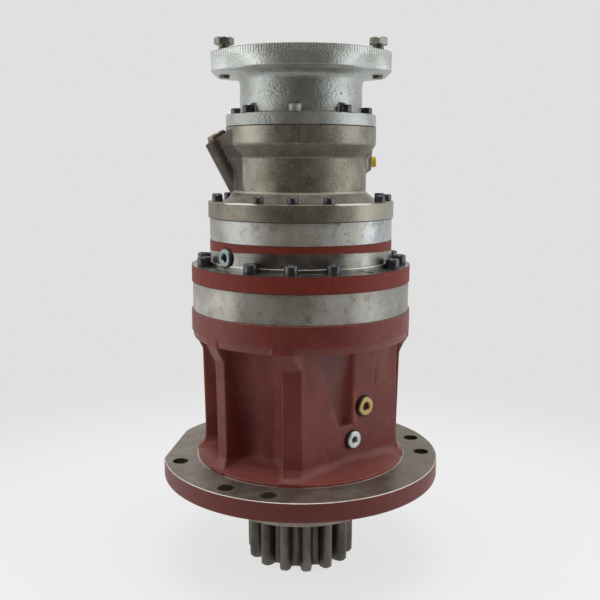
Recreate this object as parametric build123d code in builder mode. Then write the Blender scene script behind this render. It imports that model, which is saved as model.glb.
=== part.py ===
from build123d import *
from math import acos, copysign, cos, pi, radians, sin, sqrt, tan
import os

# Excavator swing gearbox, in millimetres.
# The origin is the centre of the mounting flange's underside. +Z runs up to the motor, -Y is the front.
# Angles round the axis are counted from the front towards +X.

os.makedirs("parts", exist_ok=True)

# Clearances
running_fit = 0.05  # shaft in its bore, on radius
bolt_play = 0.5  # clearance hole round a screw, on radius
thread_play = 0.05  # tapped hole round a screw, on radius
bearing_play = 0.15  # between the cone and the cup of a bearing, on radius
turning_gap = 3.0  # a turning face from the fixed face next to it
disc_gap = 0.25  # between the discs of the released brake
disc_edge_play = 0.3  # between a disc's rim and the housing, on radius
sun_play = 5.0  # round a sun gear in its carrier's cap
scallop_play = 1.0  # round a screw head in its hollow, on radius
tooth_thinning = 0.2  # taken off each flank of a gear tooth

# Main housing
flange_radius = 200.0
flange_thickness = 27.5
flange_edge = 3.0
flange_flat_depth = 10.4
flange_flat_angles = (-97.0, 171.0)
flange_hole_radius = 11.0
flange_hole_inset = 21.5
flange_hole_angles = (-153.2, -133.2, -73.2, -33.2, -13.2, 86.8, 106.8, 146.8)
pilot_radius = 125.0
pilot_length = 39.0
foot_radius = 149.5
foot_height = 3.5
deck_rise = 9.0
core_foot_radius = 113.0
core_waist_radius = 103.0
core_waist_rise = 49.0
core_swell_radius = 107.5
core_swell_rise = 99.0
core_top_radius = 120.0
core_top_drop = 44.7
ledge_radius = 153.5
ledge_drop = 37.7
band_radius = 156.0
band_height = 24.7
housing_height = 243.7
rib_count = 8
rib_phase = -5.0
rib_width = 21.0
front_rib_width = 27.0
rib_low_radius = 140.3
rib_low_rise = 31.0
rib_high_radius = 142.7
rib_high_drop = 63.7
rib_shoulder_drop = 35.7
rib_foot_inset = 2.0
rib_flare_inset = 6.0
rib_flare_rise = 18.0
rib_root = 1.0  # how far a rib runs into the flare and the band
rib_fillet = 6.0  # cast fillet between a rib and the core

# Flat cheek with the oil plugs
cheek_rib = 1  # the rib whose place the cheek takes
cheek_reach = 110.0
strip_centre = 23.0
strip_width = 40.0
pocket_drop = 48.7
pocket_lean = 31.0  # draft of a pocket's wall at the strip, in degrees
left_pocket_height = 102.0
left_pocket_top_width = 65.0
left_pocket_top_depth = 5.5
left_pocket_foot_width = 30.0
left_pocket_foot_depth = 17.0
right_pocket_height = 51.0
right_pocket_top_width = 28.0
right_pocket_top_depth = 7.0
right_pocket_foot_width = 3.0
right_pocket_foot_depth = 2.0
level_plug_rise = 84.0
drain_plug_offset = 2.0
drain_plug_rise = 40.0
plug_thread_radius = 10.0
plug_thread_length = 14.0
plug_socket = 10.0
plug_collar_height = 6.0
level_plug_collar = 14.0
drain_plug_collar = 12.5
washer_thickness = 1.5
washer_overhang = 1.2

# Output shaft and pinion
pinion_module = 10.0
pinion_teeth = 14
pinion_bottom = -130.0
pinion_top = -42.0
pinion_tooth_angle = 7.5
journal_radius = 62.0
shaft_radius = 50.0
spline_radius = 44.0
shaft_end_rise = 14.0

# Lower bearing, upper bearing and shaft seal
lower_bearing_bore = 55.0
lower_bearing_outer = 90.0
lower_bearing_width = 56.0
lower_bearing_depth = 22.0
upper_bearing_bore = 47.5
upper_bearing_outer = 85.0
upper_bearing_width = 45.5
upper_bearing_drop = 94.0
cup_lip = 5.0
cup_taper = 14.0
web_bore = 80.0
seal_plate_radius = 106.0
seal_plate_thickness = 7.0
seal_outer = 78.0
seal_height = 12.0
seal_shoulder = 6.0
seal_screw_circle = 98.0
nut_radius = 62.0
nut_height = 14.0
hub_cavity_radius = 92.0

# Gear stages
output_module = 4.5
output_sun_teeth = 18
output_planet_teeth = 18
input_module = 3.5
input_sun_teeth = 18
input_planet_teeth = 21
planet_count = 3
planet_phase = 180.0
output_face = 38.0
input_face = 27.0
output_pin_radius = 18.0
input_pin_radius = 14.0
bush_wall = 6.0
planet_side_gap = 2.5
pin_recess = 2.0

# Output carrier
output_carrier_radius = 118.0
output_hub_radius = 72.0
output_hub_height = 30.0
output_plate_drop = 21.7
output_plate_height = 20.0
output_cap_height = 11.5
output_post_size = 34.0
output_post_circle = 95.0
carrier_cavity_radius = 122.0

# Input carrier
input_carrier_radius = 94.0
input_hub_radius = 48.0
input_hub_height = 14.0
input_plate_height = 19.0
input_cap_height = 9.5
input_post_size = 20.0
input_post_circle = 80.0
sun_shaft_radius = 30.0

# Ring gears and stage cover
output_ring_radius = 153.7
output_ring_height = 40.5
cover_radius = 155.0
cover_plate_height = 22.4
cover_step_radius = 131.0
cover_step_height = 6.0
cover_neck_radius = 128.7
cover_neck_height = 35.3
cover_cavity_height = 15.8
cover_bore_radius = 100.0
stage_plug_angle = -50.0
stage_plug_rise = 15.7
spot_face_radius = 14.5
spot_face_depth = 1.0
input_ring_radius = 128.5
input_ring_height = 30.3

# Brake housing
brake_flange_radius = 130.5
brake_flange_height = 22.8
brake_flare = 15.5  # how far the wall's foot flares out on the flange
brake_wall = 14.5  # from the bore of the discs to the outside
brake_fillet = 5.0
brake_flare_height = 12.0
brake_wall_height = 46.5
brake_cone_height = 19.0
brake_band_height = 23.5
brake_cavity_radius = 98.0
brake_cavity_height = 13.8
brake_web_height = 10.0
brake_web_bore = 45.0
piston_step = 4.0  # from the bore of the discs to the piston's bore
piston_bore_inset = 9.5  # of the piston's bore from the adapter's screws
piston_step_drop = 50.0
port_tilt = 27.5
port_overhang = 11.4  # of the slanted port beyond the band
port_drop = 15.3
port_boss_radius = 20.35
port_boss_root = 2.0
port_thread_radius = 12.0
port_thread_depth = 24.0
port_passage_radius = 4.0
passage_overrun = 6.0  # how far an oil passage runs into the room it feeds
release_boss_radius = 13.0
release_boss_length = 7.0
release_port_drop = 47.0
release_port_radius = 5.0
release_cap_radius = 7.2
release_cap_height = 6.4

# Brake parts
steel_disc_count = 3
disc_thickness = 5.0
steel_disc_bore = 50.0
friction_disc_bore = 40.0
friction_disc_inset = 5.0
piston_bore = 50.0
piston_land_drop = 40.0
spring_room = 14.0
spring_play = 3.0  # round the disc springs in the piston's bore
spring_inner = 54.0
spring_thickness = 3.0

# Input shaft and its bearing
input_neck_radius = 24.0
input_collar_radius = 28.0
input_bearing_bore = 25.0
input_bearing_outer = 40.0
input_bearing_width = 16.0
input_bearing_wall = 6.5
input_bearing_lip = 5.0
input_bearing_spare = 3.0
snap_ring_wall = 5.0
snap_ring_height = 2.0
brake_hub_overlap = 2.0
input_shaft_rise = 49.0
motor_spline_radius = 17.5
motor_spline_depth = 48.0

# Motor adapter
adapter_height = 96.0
adapter_base_radius = 104.3
adapter_base_height = 16.5
adapter_overhang = 0.2  # of the brake housing's band beyond the adapter's foot
adapter_neck_inset = 6.0  # of the neck from the screws
adapter_fillet = 17.0
adapter_foot_fillet = 4.0
adapter_flange_radius = 138.0
adapter_flange_width = 238.0
adapter_flange_height = 26.0
adapter_corner = 12.0
adapter_web = 4.0
adapter_wall = 18.5
motor_pilot_radius = 70.0
motor_pilot_depth = 11.0
motor_bolt_spacing = 212.0

# Screws: shank radius, head radius, head height, length and key
m8 = (4.0, 6.5, 8.0, 70.0, 6.0)
m10 = (5.0, 8.0, 10.0, 35.0, 8.0)
m12 = (6.0, 9.0, 12.0, 85.0, 10.0)
seal_screw = (4.0, 7.5, 4.0, 20.0, 5.0)
motor_bolt_radius = 8.0
motor_bolt_head = 24.0
motor_bolt_head_height = 10.0
motor_bolt_length = 45.0
motor_bolt_lift = 15.0
screw_phase = -5.0
screw_positions = 16
cover_screw_circle = 140.0
brake_screw_circle = 120.0
adapter_screw_inset = 13.8
adapter_screw_count = 8
adapter_scallop_spare = 2.0
seal_screw_count = 6
blind_spare = 1.4  # tapped hole beyond the end of its screw

# Levels of the stack, from the bottom up
lower_bearing_top = lower_bearing_width - lower_bearing_depth
foot_top = flange_thickness + foot_height
housing_top = housing_height
band_bottom = housing_top - band_height
output_plate_bottom = housing_top - output_plate_drop
output_hub_bottom = output_plate_bottom - output_hub_height
upper_bearing_bottom = output_plate_bottom - upper_bearing_drop
upper_bearing_top = upper_bearing_bottom + upper_bearing_width
output_ring_top = housing_top + output_ring_height
cover_plate_top = output_ring_top + cover_plate_height
cover_top = cover_plate_top + cover_neck_height
input_ring_top = cover_top + input_ring_height
brake_flange_top = input_ring_top + brake_flange_height
brake_wall_bottom = brake_flange_top + brake_flare_height
brake_wall_top = brake_wall_bottom + brake_wall_height
brake_band_bottom = brake_wall_top + brake_cone_height
brake_top = brake_band_bottom + brake_band_height
piston_top = brake_top - spring_room
input_shaft_top = brake_top + input_shaft_rise
adapter_foot_top = brake_top + adapter_base_height
adapter_top = brake_top + adapter_height

# Radii of the adapter and the brake, from the adapter's foot inward
adapter_screw_circle = adapter_base_radius - adapter_screw_inset
adapter_neck_radius = adapter_screw_circle - adapter_neck_inset
adapter_cavity_radius = adapter_neck_radius - adapter_wall
brake_band_radius = adapter_base_radius + adapter_overhang
piston_bore_radius = adapter_screw_circle - piston_bore_inset
disc_bore_radius = piston_bore_radius - piston_step
friction_disc_radius = disc_bore_radius - friction_disc_inset
spring_outer = piston_bore_radius - spring_play
brake_wall_radius = disc_bore_radius + brake_wall
brake_foot_radius = brake_wall_radius + brake_flare
port_reach = brake_band_radius + port_overhang
release_boss_reach = brake_wall_radius + release_boss_length

# Gear sizes
pressure_angle = radians(20)
output_ring_teeth = output_sun_teeth + 2 * output_planet_teeth
input_ring_teeth = input_sun_teeth + 2 * input_planet_teeth
output_centres = output_module * (output_sun_teeth + output_planet_teeth) / 2
input_centres = input_module * (input_sun_teeth + input_planet_teeth) / 2
output_gear_bottom = output_plate_bottom + output_plate_height + planet_side_gap
output_cap_bottom = output_gear_bottom + output_face + planet_side_gap
input_plate_bottom = cover_top - input_plate_height
input_gear_bottom = cover_top + planet_side_gap
input_cap_bottom = input_gear_bottom + input_face + planet_side_gap


def polar(radius, angle):
    """A point at an angle from the front."""
    return radius * sin(radians(angle)), -radius * cos(radians(angle))


def radial_plane(angle):
    """The upright plane through the axis at an angle; its x runs outward and its y up."""
    x, y = polar(1, angle)
    return Plane(origin=(0, 0, 0), x_dir=(x, y, 0), z_dir=(y, -x, 0))


def outward_plane(angle, reach, height=0.0):
    """An upright plane facing away from the axis; its x runs sideways and its y up."""
    x, y = polar(1, angle)
    return Plane(origin=(x * reach, y * reach, height), x_dir=(-y, x, 0), z_dir=(x, y, 0))


def spots(radius, angles):
    """Points on a circle, for a pattern of holes or screws."""
    return [polar(radius, angle) for angle in angles]


def flank_angle(radius, module, teeth, thinning):
    """Half of a tooth's angle at a radius, on an involute flank."""
    pitch = module * teeth / 2
    base = pitch * cos(pressure_angle)
    at_pitch = tan(pressure_angle) - pressure_angle
    lean = acos(base / max(radius, base))
    return pi / 2 / teeth - thinning / pitch + at_pitch - (tan(lean) - lean)


def tooth_outline(module, teeth, radii, thinning, tooth_angle):
    """Corner points of a ring of teeth, each flank a line of points at the given radii."""
    points = []
    for tooth in range(teeth):
        middle = radians(tooth_angle - 90) + 2 * pi * tooth / teeth
        halves = [(r, flank_angle(r, module, teeth, thinning)) for r in radii]
        points += [(r * cos(middle - half), r * sin(middle - half)) for r, half in halves]
        points += [(r * cos(middle + half), r * sin(middle + half)) for r, half in reversed(halves)]
    return points


def gear(module, teeth, bottom, height, tooth_angle, centre=(0.0, 0.0), bore=0.0):
    """An external spur gear with a tooth at the given angle."""
    pitch = module * teeth / 2
    radii = (pitch - 1.25 * module, pitch, pitch + module)
    with BuildPart() as blank:
        with BuildSketch(Plane.XY.offset(bottom)):
            with BuildLine(Location((*centre, 0))):
                Polyline(*tooth_outline(module, teeth, radii, tooth_thinning, tooth_angle), close=True)
            make_face()
            if bore:
                with Locations(centre):
                    Circle(bore, mode=Mode.SUBTRACT)
        extrude(amount=height)
    return blank


def ring_gear(module, teeth, outer, bottom, height, space_angle):
    """A ring with internal teeth and a tooth space at the given angle."""
    pitch = module * teeth / 2
    radii = (pitch - module, pitch, pitch + 1.25 * module)
    with BuildPart() as ring:
        with BuildSketch(Plane.XY.offset(bottom)):
            Circle(outer)
            with BuildLine():
                Polyline(*tooth_outline(module, teeth, radii, -tooth_thinning / 2, space_angle), close=True)
            make_face(mode=Mode.SUBTRACT)
        extrude(amount=height)
    return ring


def turned_ring(inner, outer, bottom, height):
    """A plain ring."""
    with BuildPart() as ring:
        with BuildSketch(Plane.XY.offset(bottom)):
            Circle(outer)
            Circle(inner, mode=Mode.SUBTRACT)
        extrude(amount=height)
    return ring


def turned(*profile):
    """A solid turned round the axis from (radius, height) corners."""
    with BuildPart() as piece:
        with BuildSketch(Plane.XZ):
            with BuildLine():
                Polyline(*profile, close=True)
            make_face()
        revolve(axis=Axis.Z)
    return piece


def holes(plane, points, radius, depth):
    """Round hole volumes that run from a plane against its normal, to be subtracted."""
    with BuildPart() as volumes:
        with BuildSketch(plane):
            with Locations(*points):
                Circle(radius)
        extrude(amount=-depth)
    return volumes.part


def cap_screws(seat, points, size):
    """A group of socket screws standing on one seat, with hexagon sockets half as deep as the heads."""
    shank, head, head_height, length, key = size
    with BuildPart() as screws:
        with BuildSketch(seat):
            with Locations(*points):
                Circle(head)
        extrude(amount=head_height)
        with BuildSketch(seat):
            with Locations(*points):
                Circle(shank)
        extrude(amount=-length)
        with BuildSketch(seat.offset(head_height)):
            with Locations(*points):
                RegularPolygon(key / 2, 6, major_radius=False)
        extrude(amount=-head_height / 2, mode=Mode.SUBTRACT)
    return screws


def socket_plug(seat, collar, collar_height, thread, thread_length, hexagon):
    """A plug with a hexagon socket, its collar on the seat and its thread behind it."""
    with BuildPart() as plug:
        with BuildSketch(seat):
            Circle(collar)
        extrude(amount=collar_height)
        with BuildSketch(seat):
            Circle(thread)
        extrude(amount=-thread_length)
        with BuildSketch(seat.offset(collar_height)):
            RegularPolygon(hexagon / 2, 6, major_radius=False)
        extrude(amount=-collar_height, mode=Mode.SUBTRACT)
    return plug


screw_angles = [screw_phase + 360 / screw_positions * k for k in range(screw_positions) if k % 4 != 2]
jack_angles = [screw_phase + 360 / screw_positions * k for k in range(screw_positions) if k % 4 == 2]
adapter_screw_angles = [screw_phase + 360 / adapter_screw_count * k for k in range(adapter_screw_count)]
seal_screw_angles = [360 / seal_screw_count * k for k in range(seal_screw_count)]
planet_angles = [planet_phase + 360 / planet_count * k for k in range(planet_count)]
post_angles = [angle + 180 / planet_count for angle in planet_angles]
seal_seat = Plane.XY.offset(-pilot_length + seal_plate_thickness)
seal_screw_seat = Plane(origin=(0, 0, -pilot_length + seal_screw[2]), x_dir=(1, 0, 0), z_dir=(0, 0, -1))
seal_screw_spots = spots(seal_screw_circle, seal_screw_angles)
stage_plug_seat = outward_plane(
    stage_plug_angle, cover_neck_radius - spot_face_depth, cover_plate_top + stage_plug_rise
)
cheek_angle = rib_phase + 360 / rib_count * cheek_rib
cheek = outward_plane(cheek_angle, cheek_reach, foot_top)
level_plug_spot = cheek.from_local_coords((strip_centre, level_plug_rise))
drain_plug_spot = cheek.from_local_coords((drain_plug_offset, drain_plug_rise))
level_plug_seat = Plane(level_plug_spot, cheek.x_dir, cheek.z_dir)
drain_plug_seat = Plane(drain_plug_spot, cheek.x_dir, cheek.z_dir)
adapter_screw_seat = Plane.XY.offset(adapter_foot_top)
adapter_screw_spots = spots(adapter_screw_circle, adapter_screw_angles)
motor_bolt_spots = [(-motor_bolt_spacing / 2, 0), (motor_bolt_spacing / 2, 0)]



def housing_rib(angle, width):
    """An upright rib from the core's inside to its face, with a flared foot and a shoulder on top."""
    with BuildPart() as rib:
        with BuildSketch(radial_plane(angle)):
            with BuildLine():
                Polyline(
                    (hub_cavity_radius, flange_thickness),
                    (foot_radius - rib_foot_inset, flange_thickness),
                    (foot_radius - rib_foot_inset, foot_top),
                    (foot_radius - rib_flare_inset, foot_top + rib_flare_inset),
                    (rib_low_radius + rib_root, foot_top + rib_flare_rise),
                    (rib_low_radius, foot_top + rib_low_rise),
                    (rib_high_radius, housing_top - rib_high_drop),
                    (band_radius - rib_root, housing_top - rib_shoulder_drop),
                    (band_radius - rib_root, band_bottom + rib_root),
                    (hub_cavity_radius, band_bottom + rib_root),
                    close=True,
                )
            make_face()
        extrude(amount=width / 2, both=True)
    return rib.part


def rib_root_edges(part, angle, width):
    """The edges in the corners between a rib and the core."""
    middle = radial_plane(angle)
    roots = []
    for edge in part.edges():
        place = middle.to_local_coords(edge.center())
        beside = abs(abs(place.Z) - width / 2) < 0.1 and core_waist_radius / 2 < place.X < core_top_radius
        if beside and foot_top + deck_rise < place.Y < housing_top - core_top_drop:
            roots.append(edge)
    return roots


def cheek_pocket(edge, height, foot_width, foot_depth, top_width, top_depth):
    """A pocket beside the cheek's strip, flush at its outer edge and deepest at the strip."""
    top = housing_top - pocket_drop
    lean = copysign(tan(radians(pocket_lean)), foot_width)
    with BuildPart() as pocket:
        for level, width, depth in ((top - height, foot_width, foot_depth), (top, top_width, top_depth)):
            section = Plane(origin=(0, 0, level), x_dir=cheek.x_dir, z_dir=(0, 0, 1))
            with BuildSketch(section):
                with BuildLine():
                    Polyline(
                        (edge, -cheek_reach),
                        (edge + width, -cheek_reach),
                        (edge + lean * depth, depth - cheek_reach),
                        close=True,
                    )
                make_face()
        loft()
    return pocket.part


# Main housing: pilot, flange, waisted core, seven ribs and a flat cheek under the top band
rib_step = 360 / rib_count
cheek_corner = cheek_reach / cos(radians(rib_step))
cheek_foot = foot_top + rib_flare_rise
ledge_bottom = housing_top - ledge_drop
strip_left = strip_centre - strip_width / 2
strip_right = strip_centre + strip_width / 2
with BuildPart() as housing:
    with BuildSketch(Plane.XZ):
        with BuildLine():
            Polyline(
                (0, -pilot_length),
                (pilot_radius, -pilot_length),
                (pilot_radius, 0),
                (flange_radius - flange_edge, 0),
                (flange_radius, flange_edge),
                (flange_radius, flange_thickness),
                (foot_radius, flange_thickness),
                (foot_radius, foot_top),
                (core_foot_radius, foot_top + deck_rise),
            )
            Spline(
                (core_foot_radius, foot_top + deck_rise),
                (core_waist_radius, foot_top + core_waist_rise),
                (core_swell_radius, foot_top + core_swell_rise),
                (core_top_radius, housing_top - core_top_drop),
            )
            Polyline(
                (core_top_radius, housing_top - core_top_drop),
                (ledge_radius, ledge_bottom),
                (band_radius, band_bottom),
                (band_radius, housing_top),
                (0, housing_top),
                (0, -pilot_length),
            )
        make_face()
    revolve(axis=Axis.Z)
    rib_widths = [rib_width if index else front_rib_width for index in range(rib_count)]
    cast_ribs = [(rib_phase + rib_step * k, width) for k, width in enumerate(rib_widths) if k != cheek_rib]
    for angle, width in cast_ribs:
        add(housing_rib(angle, width))
    roots = []
    for angle, width in cast_ribs:
        roots += rib_root_edges(housing.part, angle, width)
    fillet(roots, rib_fillet)
    with BuildSketch(Plane.XY.offset(flange_thickness)):
        with BuildLine():
            Polyline(
                (0, 0),
                polar(cheek_corner, cheek_angle - rib_step),
                polar(cheek_corner, cheek_angle + rib_step),
                close=True,
            )
        make_face()
        Circle(rib_low_radius, mode=Mode.INTERSECT)
    extrude(amount=band_bottom - flange_thickness)
    with BuildSketch(outward_plane(cheek_angle, cheek_reach, cheek_foot)):
        Rectangle(2 * cheek_reach, ledge_bottom - cheek_foot, align=(Align.CENTER, Align.MIN))
    extrude(amount=band_radius - cheek_reach, mode=Mode.SUBTRACT)
    add(
        cheek_pocket(
            strip_left,
            left_pocket_height,
            -left_pocket_foot_width,
            left_pocket_foot_depth,
            -left_pocket_top_width,
            left_pocket_top_depth,
        ),
        mode=Mode.SUBTRACT,
    )
    add(
        cheek_pocket(
            strip_right,
            right_pocket_height,
            right_pocket_foot_width,
            right_pocket_foot_depth,
            right_pocket_top_width,
            right_pocket_top_depth,
        ),
        mode=Mode.SUBTRACT,
    )
    for angle in flange_flat_angles:
        with BuildSketch(outward_plane(angle, flange_radius - flange_flat_depth, flange_thickness / 2)):
            Rectangle(flange_radius, 2 * flange_thickness)
        extrude(amount=2 * flange_flat_depth, mode=Mode.SUBTRACT)
    with BuildSketch(Plane.XZ):
        with BuildLine():
            Polyline(
                (0, -pilot_length),
                (seal_plate_radius, -pilot_length),
                (seal_plate_radius, -pilot_length + seal_plate_thickness),
                (lower_bearing_outer, -pilot_length + seal_plate_thickness),
                (lower_bearing_outer, lower_bearing_top),
                (web_bore, lower_bearing_top),
                (web_bore, upper_bearing_bottom),
                (upper_bearing_outer, upper_bearing_bottom),
                (upper_bearing_outer, upper_bearing_top),
                (hub_cavity_radius, upper_bearing_top),
                (hub_cavity_radius, output_plate_bottom - turning_gap),
                (carrier_cavity_radius, output_plate_bottom - turning_gap),
                (carrier_cavity_radius, housing_top),
                (0, housing_top),
                close=True,
            )
        make_face()
    revolve(axis=Axis.Z, mode=Mode.SUBTRACT)
    add(
        holes(
            Plane.XY.offset(flange_thickness),
            spots(flange_radius - flange_hole_inset, flange_hole_angles),
            flange_hole_radius,
            flange_thickness,
        ),
        mode=Mode.SUBTRACT,
    )
    add(
        holes(
            Plane.XY.offset(housing_top),
            spots(cover_screw_circle, screw_angles),
            m12[0] + thread_play,
            m12[3] - cover_plate_height - output_ring_height + blind_spare,
        ),
        mode=Mode.SUBTRACT,
    )
    add(
        holes(
            seal_seat.offset(seal_screw[3]), seal_screw_spots, seal_screw[0] + thread_play, seal_screw[3]
        ),
        mode=Mode.SUBTRACT,
    )
    for seat in (level_plug_seat, drain_plug_seat):
        add(
            holes(seat, [(0, 0)], plug_thread_radius + thread_play, cheek_reach),
            mode=Mode.SUBTRACT,
        )
housing.part.label = "housing"
export_step(housing.part, "parts/housing.step")

# Seal plate and shaft seal that close the housing below the lower bearing
with BuildPart() as seal_plate:
    with BuildSketch(Plane.XY.offset(-pilot_length)):
        Circle(seal_plate_radius - running_fit)
    extrude(amount=seal_plate_thickness)
    with BuildSketch(seal_seat):
        Circle(lower_bearing_outer - running_fit)
    extrude(amount=pilot_length - lower_bearing_depth - seal_plate_thickness)
    with BuildSketch(Plane.XY.offset(-pilot_length)):
        Circle(seal_outer)
    extrude(amount=seal_height, mode=Mode.SUBTRACT)
    with BuildSketch(Plane.XY.offset(-pilot_length)):
        Circle(seal_outer - seal_shoulder)
    extrude(amount=pilot_length, mode=Mode.SUBTRACT)
    add(
        holes(seal_seat, seal_screw_spots, seal_screw[0] + bolt_play, seal_plate_thickness),
        mode=Mode.SUBTRACT,
    )
    add(
        holes(seal_screw_seat, seal_screw_spots, seal_screw[1] + bolt_play, -seal_screw[2]),
        mode=Mode.SUBTRACT,
    )
seal_plate.part.label = "seal_plate"
export_step(seal_plate.part, "parts/seal_plate.step")

seal_plate_screws = cap_screws(seal_screw_seat, seal_screw_spots, seal_screw)
seal_plate_screws.part.label = "seal_plate_screws"
export_step(seal_plate_screws.part, "parts/seal_plate_screws.step")

shaft_seal = turned_ring(journal_radius + running_fit, seal_outer, -pilot_length, seal_height)
shaft_seal.part.label = "shaft_seal"
export_step(shaft_seal.part, "parts/shaft_seal.step")


def bearing_cup(outer, bottom, width, small_end_up):
    """The outer ring of a taper roller bearing."""
    wide = outer - cup_lip
    narrow = wide - cup_taper
    low, high = (wide, narrow) if small_end_up else (narrow, wide)
    return turned((low, bottom), (outer, bottom), (outer, bottom + width), (high, bottom + width))


def bearing_cone(bore, outer, bottom, width, small_end_up):
    """The inner ring of a taper roller bearing with its caged rollers."""
    wide = outer - cup_lip - bearing_play
    narrow = wide - cup_taper
    low, high = (wide, narrow) if small_end_up else (narrow, wide)
    return turned((bore, bottom), (low, bottom), (high, bottom + width), (bore, bottom + width))


lower_bearing_cup = bearing_cup(lower_bearing_outer, -lower_bearing_depth, lower_bearing_width, True)
lower_bearing_cup.part.label = "lower_bearing_cup"
export_step(lower_bearing_cup.part, "parts/lower_bearing_cup.step")

lower_bearing_cone = bearing_cone(
    lower_bearing_bore, lower_bearing_outer, -lower_bearing_depth, lower_bearing_width, True
)
lower_bearing_cone.part.label = "lower_bearing_cone"
export_step(lower_bearing_cone.part, "parts/lower_bearing_cone.step")

upper_bearing_cup = bearing_cup(upper_bearing_outer, upper_bearing_bottom, upper_bearing_width, False)
upper_bearing_cup.part.label = "upper_bearing_cup"
export_step(upper_bearing_cup.part, "parts/upper_bearing_cup.step")

upper_bearing_cone = bearing_cone(
    upper_bearing_bore, upper_bearing_outer, upper_bearing_bottom, upper_bearing_width, False
)
upper_bearing_cone.part.label = "upper_bearing_cone"
export_step(upper_bearing_cone.part, "parts/upper_bearing_cone.step")

# Output shaft with the pinion cut on its lower end
pinion_pitch = pinion_module * pinion_teeth / 2
pinion_root = pinion_pitch - 1.25 * pinion_module
pinion_tip = pinion_pitch + pinion_module
flank_steps = 5
flank_start = pinion_pitch * cos(pressure_angle)
flank_rise = (pinion_tip - flank_start) / (flank_steps - 1)
flank_radii = [pinion_root] + [flank_start + flank_rise * step for step in range(flank_steps)]
with BuildPart() as output_shaft:
    with BuildSketch(Plane.XY.offset(pinion_bottom)):
        with BuildLine():
            Polyline(
                *tooth_outline(pinion_module, pinion_teeth, flank_radii, tooth_thinning, pinion_tooth_angle),
                close=True,
            )
        make_face()
    extrude(amount=pinion_top - pinion_bottom)
    with BuildSketch(Plane.XZ):
        with BuildLine():
            Polyline(
                (0, pinion_top),
                (journal_radius, pinion_top),
                (journal_radius, -lower_bearing_depth),
                (lower_bearing_bore, -lower_bearing_depth),
                (lower_bearing_bore, lower_bearing_top),
                (shaft_radius, lower_bearing_top),
                (shaft_radius, upper_bearing_bottom),
                (upper_bearing_bore, upper_bearing_bottom),
                (upper_bearing_bore, upper_bearing_top + nut_height),
                (spline_radius, upper_bearing_top + nut_height),
                (spline_radius, output_plate_bottom + shaft_end_rise),
                (0, output_plate_bottom + shaft_end_rise),
                close=True,
            )
        make_face()
    revolve(axis=Axis.Z)
output_shaft.part.label = "output_shaft"
export_step(output_shaft.part, "parts/output_shaft.step")

bearing_nut = turned_ring(upper_bearing_bore + thread_play, nut_radius, upper_bearing_top, nut_height)
bearing_nut.part.label = "bearing_nut"
export_step(bearing_nut.part, "parts/bearing_nut.step")


def planet_carrier(radius, plate, cap, posts, hub, bore, cap_bore, pins):
    """Two plates joined by posts, with a hub below; each argument pair is one feature's sizes."""
    plate_bottom, plate_height = plate
    cap_bottom, cap_height = cap
    post_circle, post_size = posts
    hub_radius, hub_bottom = hub
    pin_circle, pin_radius = pins
    with BuildPart() as carrier:
        with BuildSketch(Plane.XY.offset(plate_bottom)):
            Circle(radius)
        extrude(amount=plate_height)
        with BuildSketch(Plane.XY.offset(hub_bottom)):
            Circle(hub_radius)
        extrude(amount=plate_bottom - hub_bottom)
        with BuildSketch(Plane.XY.offset(cap_bottom)):
            Circle(radius)
            Circle(cap_bore, mode=Mode.SUBTRACT)
        extrude(amount=cap_height)
        with BuildSketch(Plane.XY.offset(plate_bottom + plate_height)):
            for angle in post_angles:
                with Locations(Location((*polar(post_circle, angle), 0), (0, 0, angle))):
                    Rectangle(post_size, post_size)
        extrude(amount=cap_bottom - plate_bottom - plate_height)
        with BuildSketch(Plane.XY.offset(hub_bottom)):
            Circle(bore)
        extrude(amount=plate_bottom + plate_height - hub_bottom, mode=Mode.SUBTRACT)
        add(
            holes(
                Plane.XY.offset(cap_bottom + cap_height),
                spots(pin_circle, planet_angles),
                pin_radius + running_fit,
                cap_bottom + cap_height - plate_bottom,
            ),
            mode=Mode.SUBTRACT,
        )
    return carrier


def planet_pins(circle, radius, bottom, top):
    """Three pins that carry the planet gears."""
    with BuildPart() as pins:
        with BuildSketch(Plane.XY.offset(bottom)):
            with Locations(*spots(circle, planet_angles)):
                Circle(radius)
        extrude(amount=top - bottom)
    return pins


def planet_bush(circle, angle, pin_radius, bottom, height):
    """The bush pressed into a planet gear, running on its pin."""
    with BuildPart() as bush:
        with BuildSketch(Plane.XY.offset(bottom)):
            with Locations(polar(circle, angle)):
                Circle(pin_radius + bush_wall)
                Circle(pin_radius + running_fit, mode=Mode.SUBTRACT)
        extrude(amount=height)
    return bush


# Output stage: carrier on the shaft, three planets, sun shaft and ring gear
output_carrier = planet_carrier(
    output_carrier_radius,
    (output_plate_bottom, output_plate_height),
    (output_cap_bottom, output_cap_height),
    (output_post_circle, output_post_size),
    (output_hub_radius, output_hub_bottom),
    spline_radius + running_fit,
    output_module * output_sun_teeth / 2 + output_module + sun_play,
    (output_centres, output_pin_radius),
)
output_carrier.part.label = "output_carrier"
export_step(output_carrier.part, "parts/output_carrier.step")

output_pins = planet_pins(
    output_centres,
    output_pin_radius,
    output_plate_bottom + pin_recess,
    output_cap_bottom + output_cap_height - pin_recess,
)
output_pins.part.label = "output_pins"
export_step(output_pins.part, "parts/output_pins.step")

half_pitch_output = 180 / output_planet_teeth
for number, angle in enumerate(planet_angles, 1):
    planet = gear(
        output_module,
        output_planet_teeth,
        output_gear_bottom,
        output_face,
        angle + half_pitch_output,
        polar(output_centres, angle),
        output_pin_radius + bush_wall,
    )
    planet.part.label = f"output_planet_{number}"
    export_step(planet.part, f"parts/output_planet_{number}.step")
    bush = planet_bush(output_centres, angle, output_pin_radius, output_gear_bottom, output_face)
    bush.part.label = f"output_bush_{number}"
    export_step(bush.part, f"parts/output_bush_{number}.step")

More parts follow.
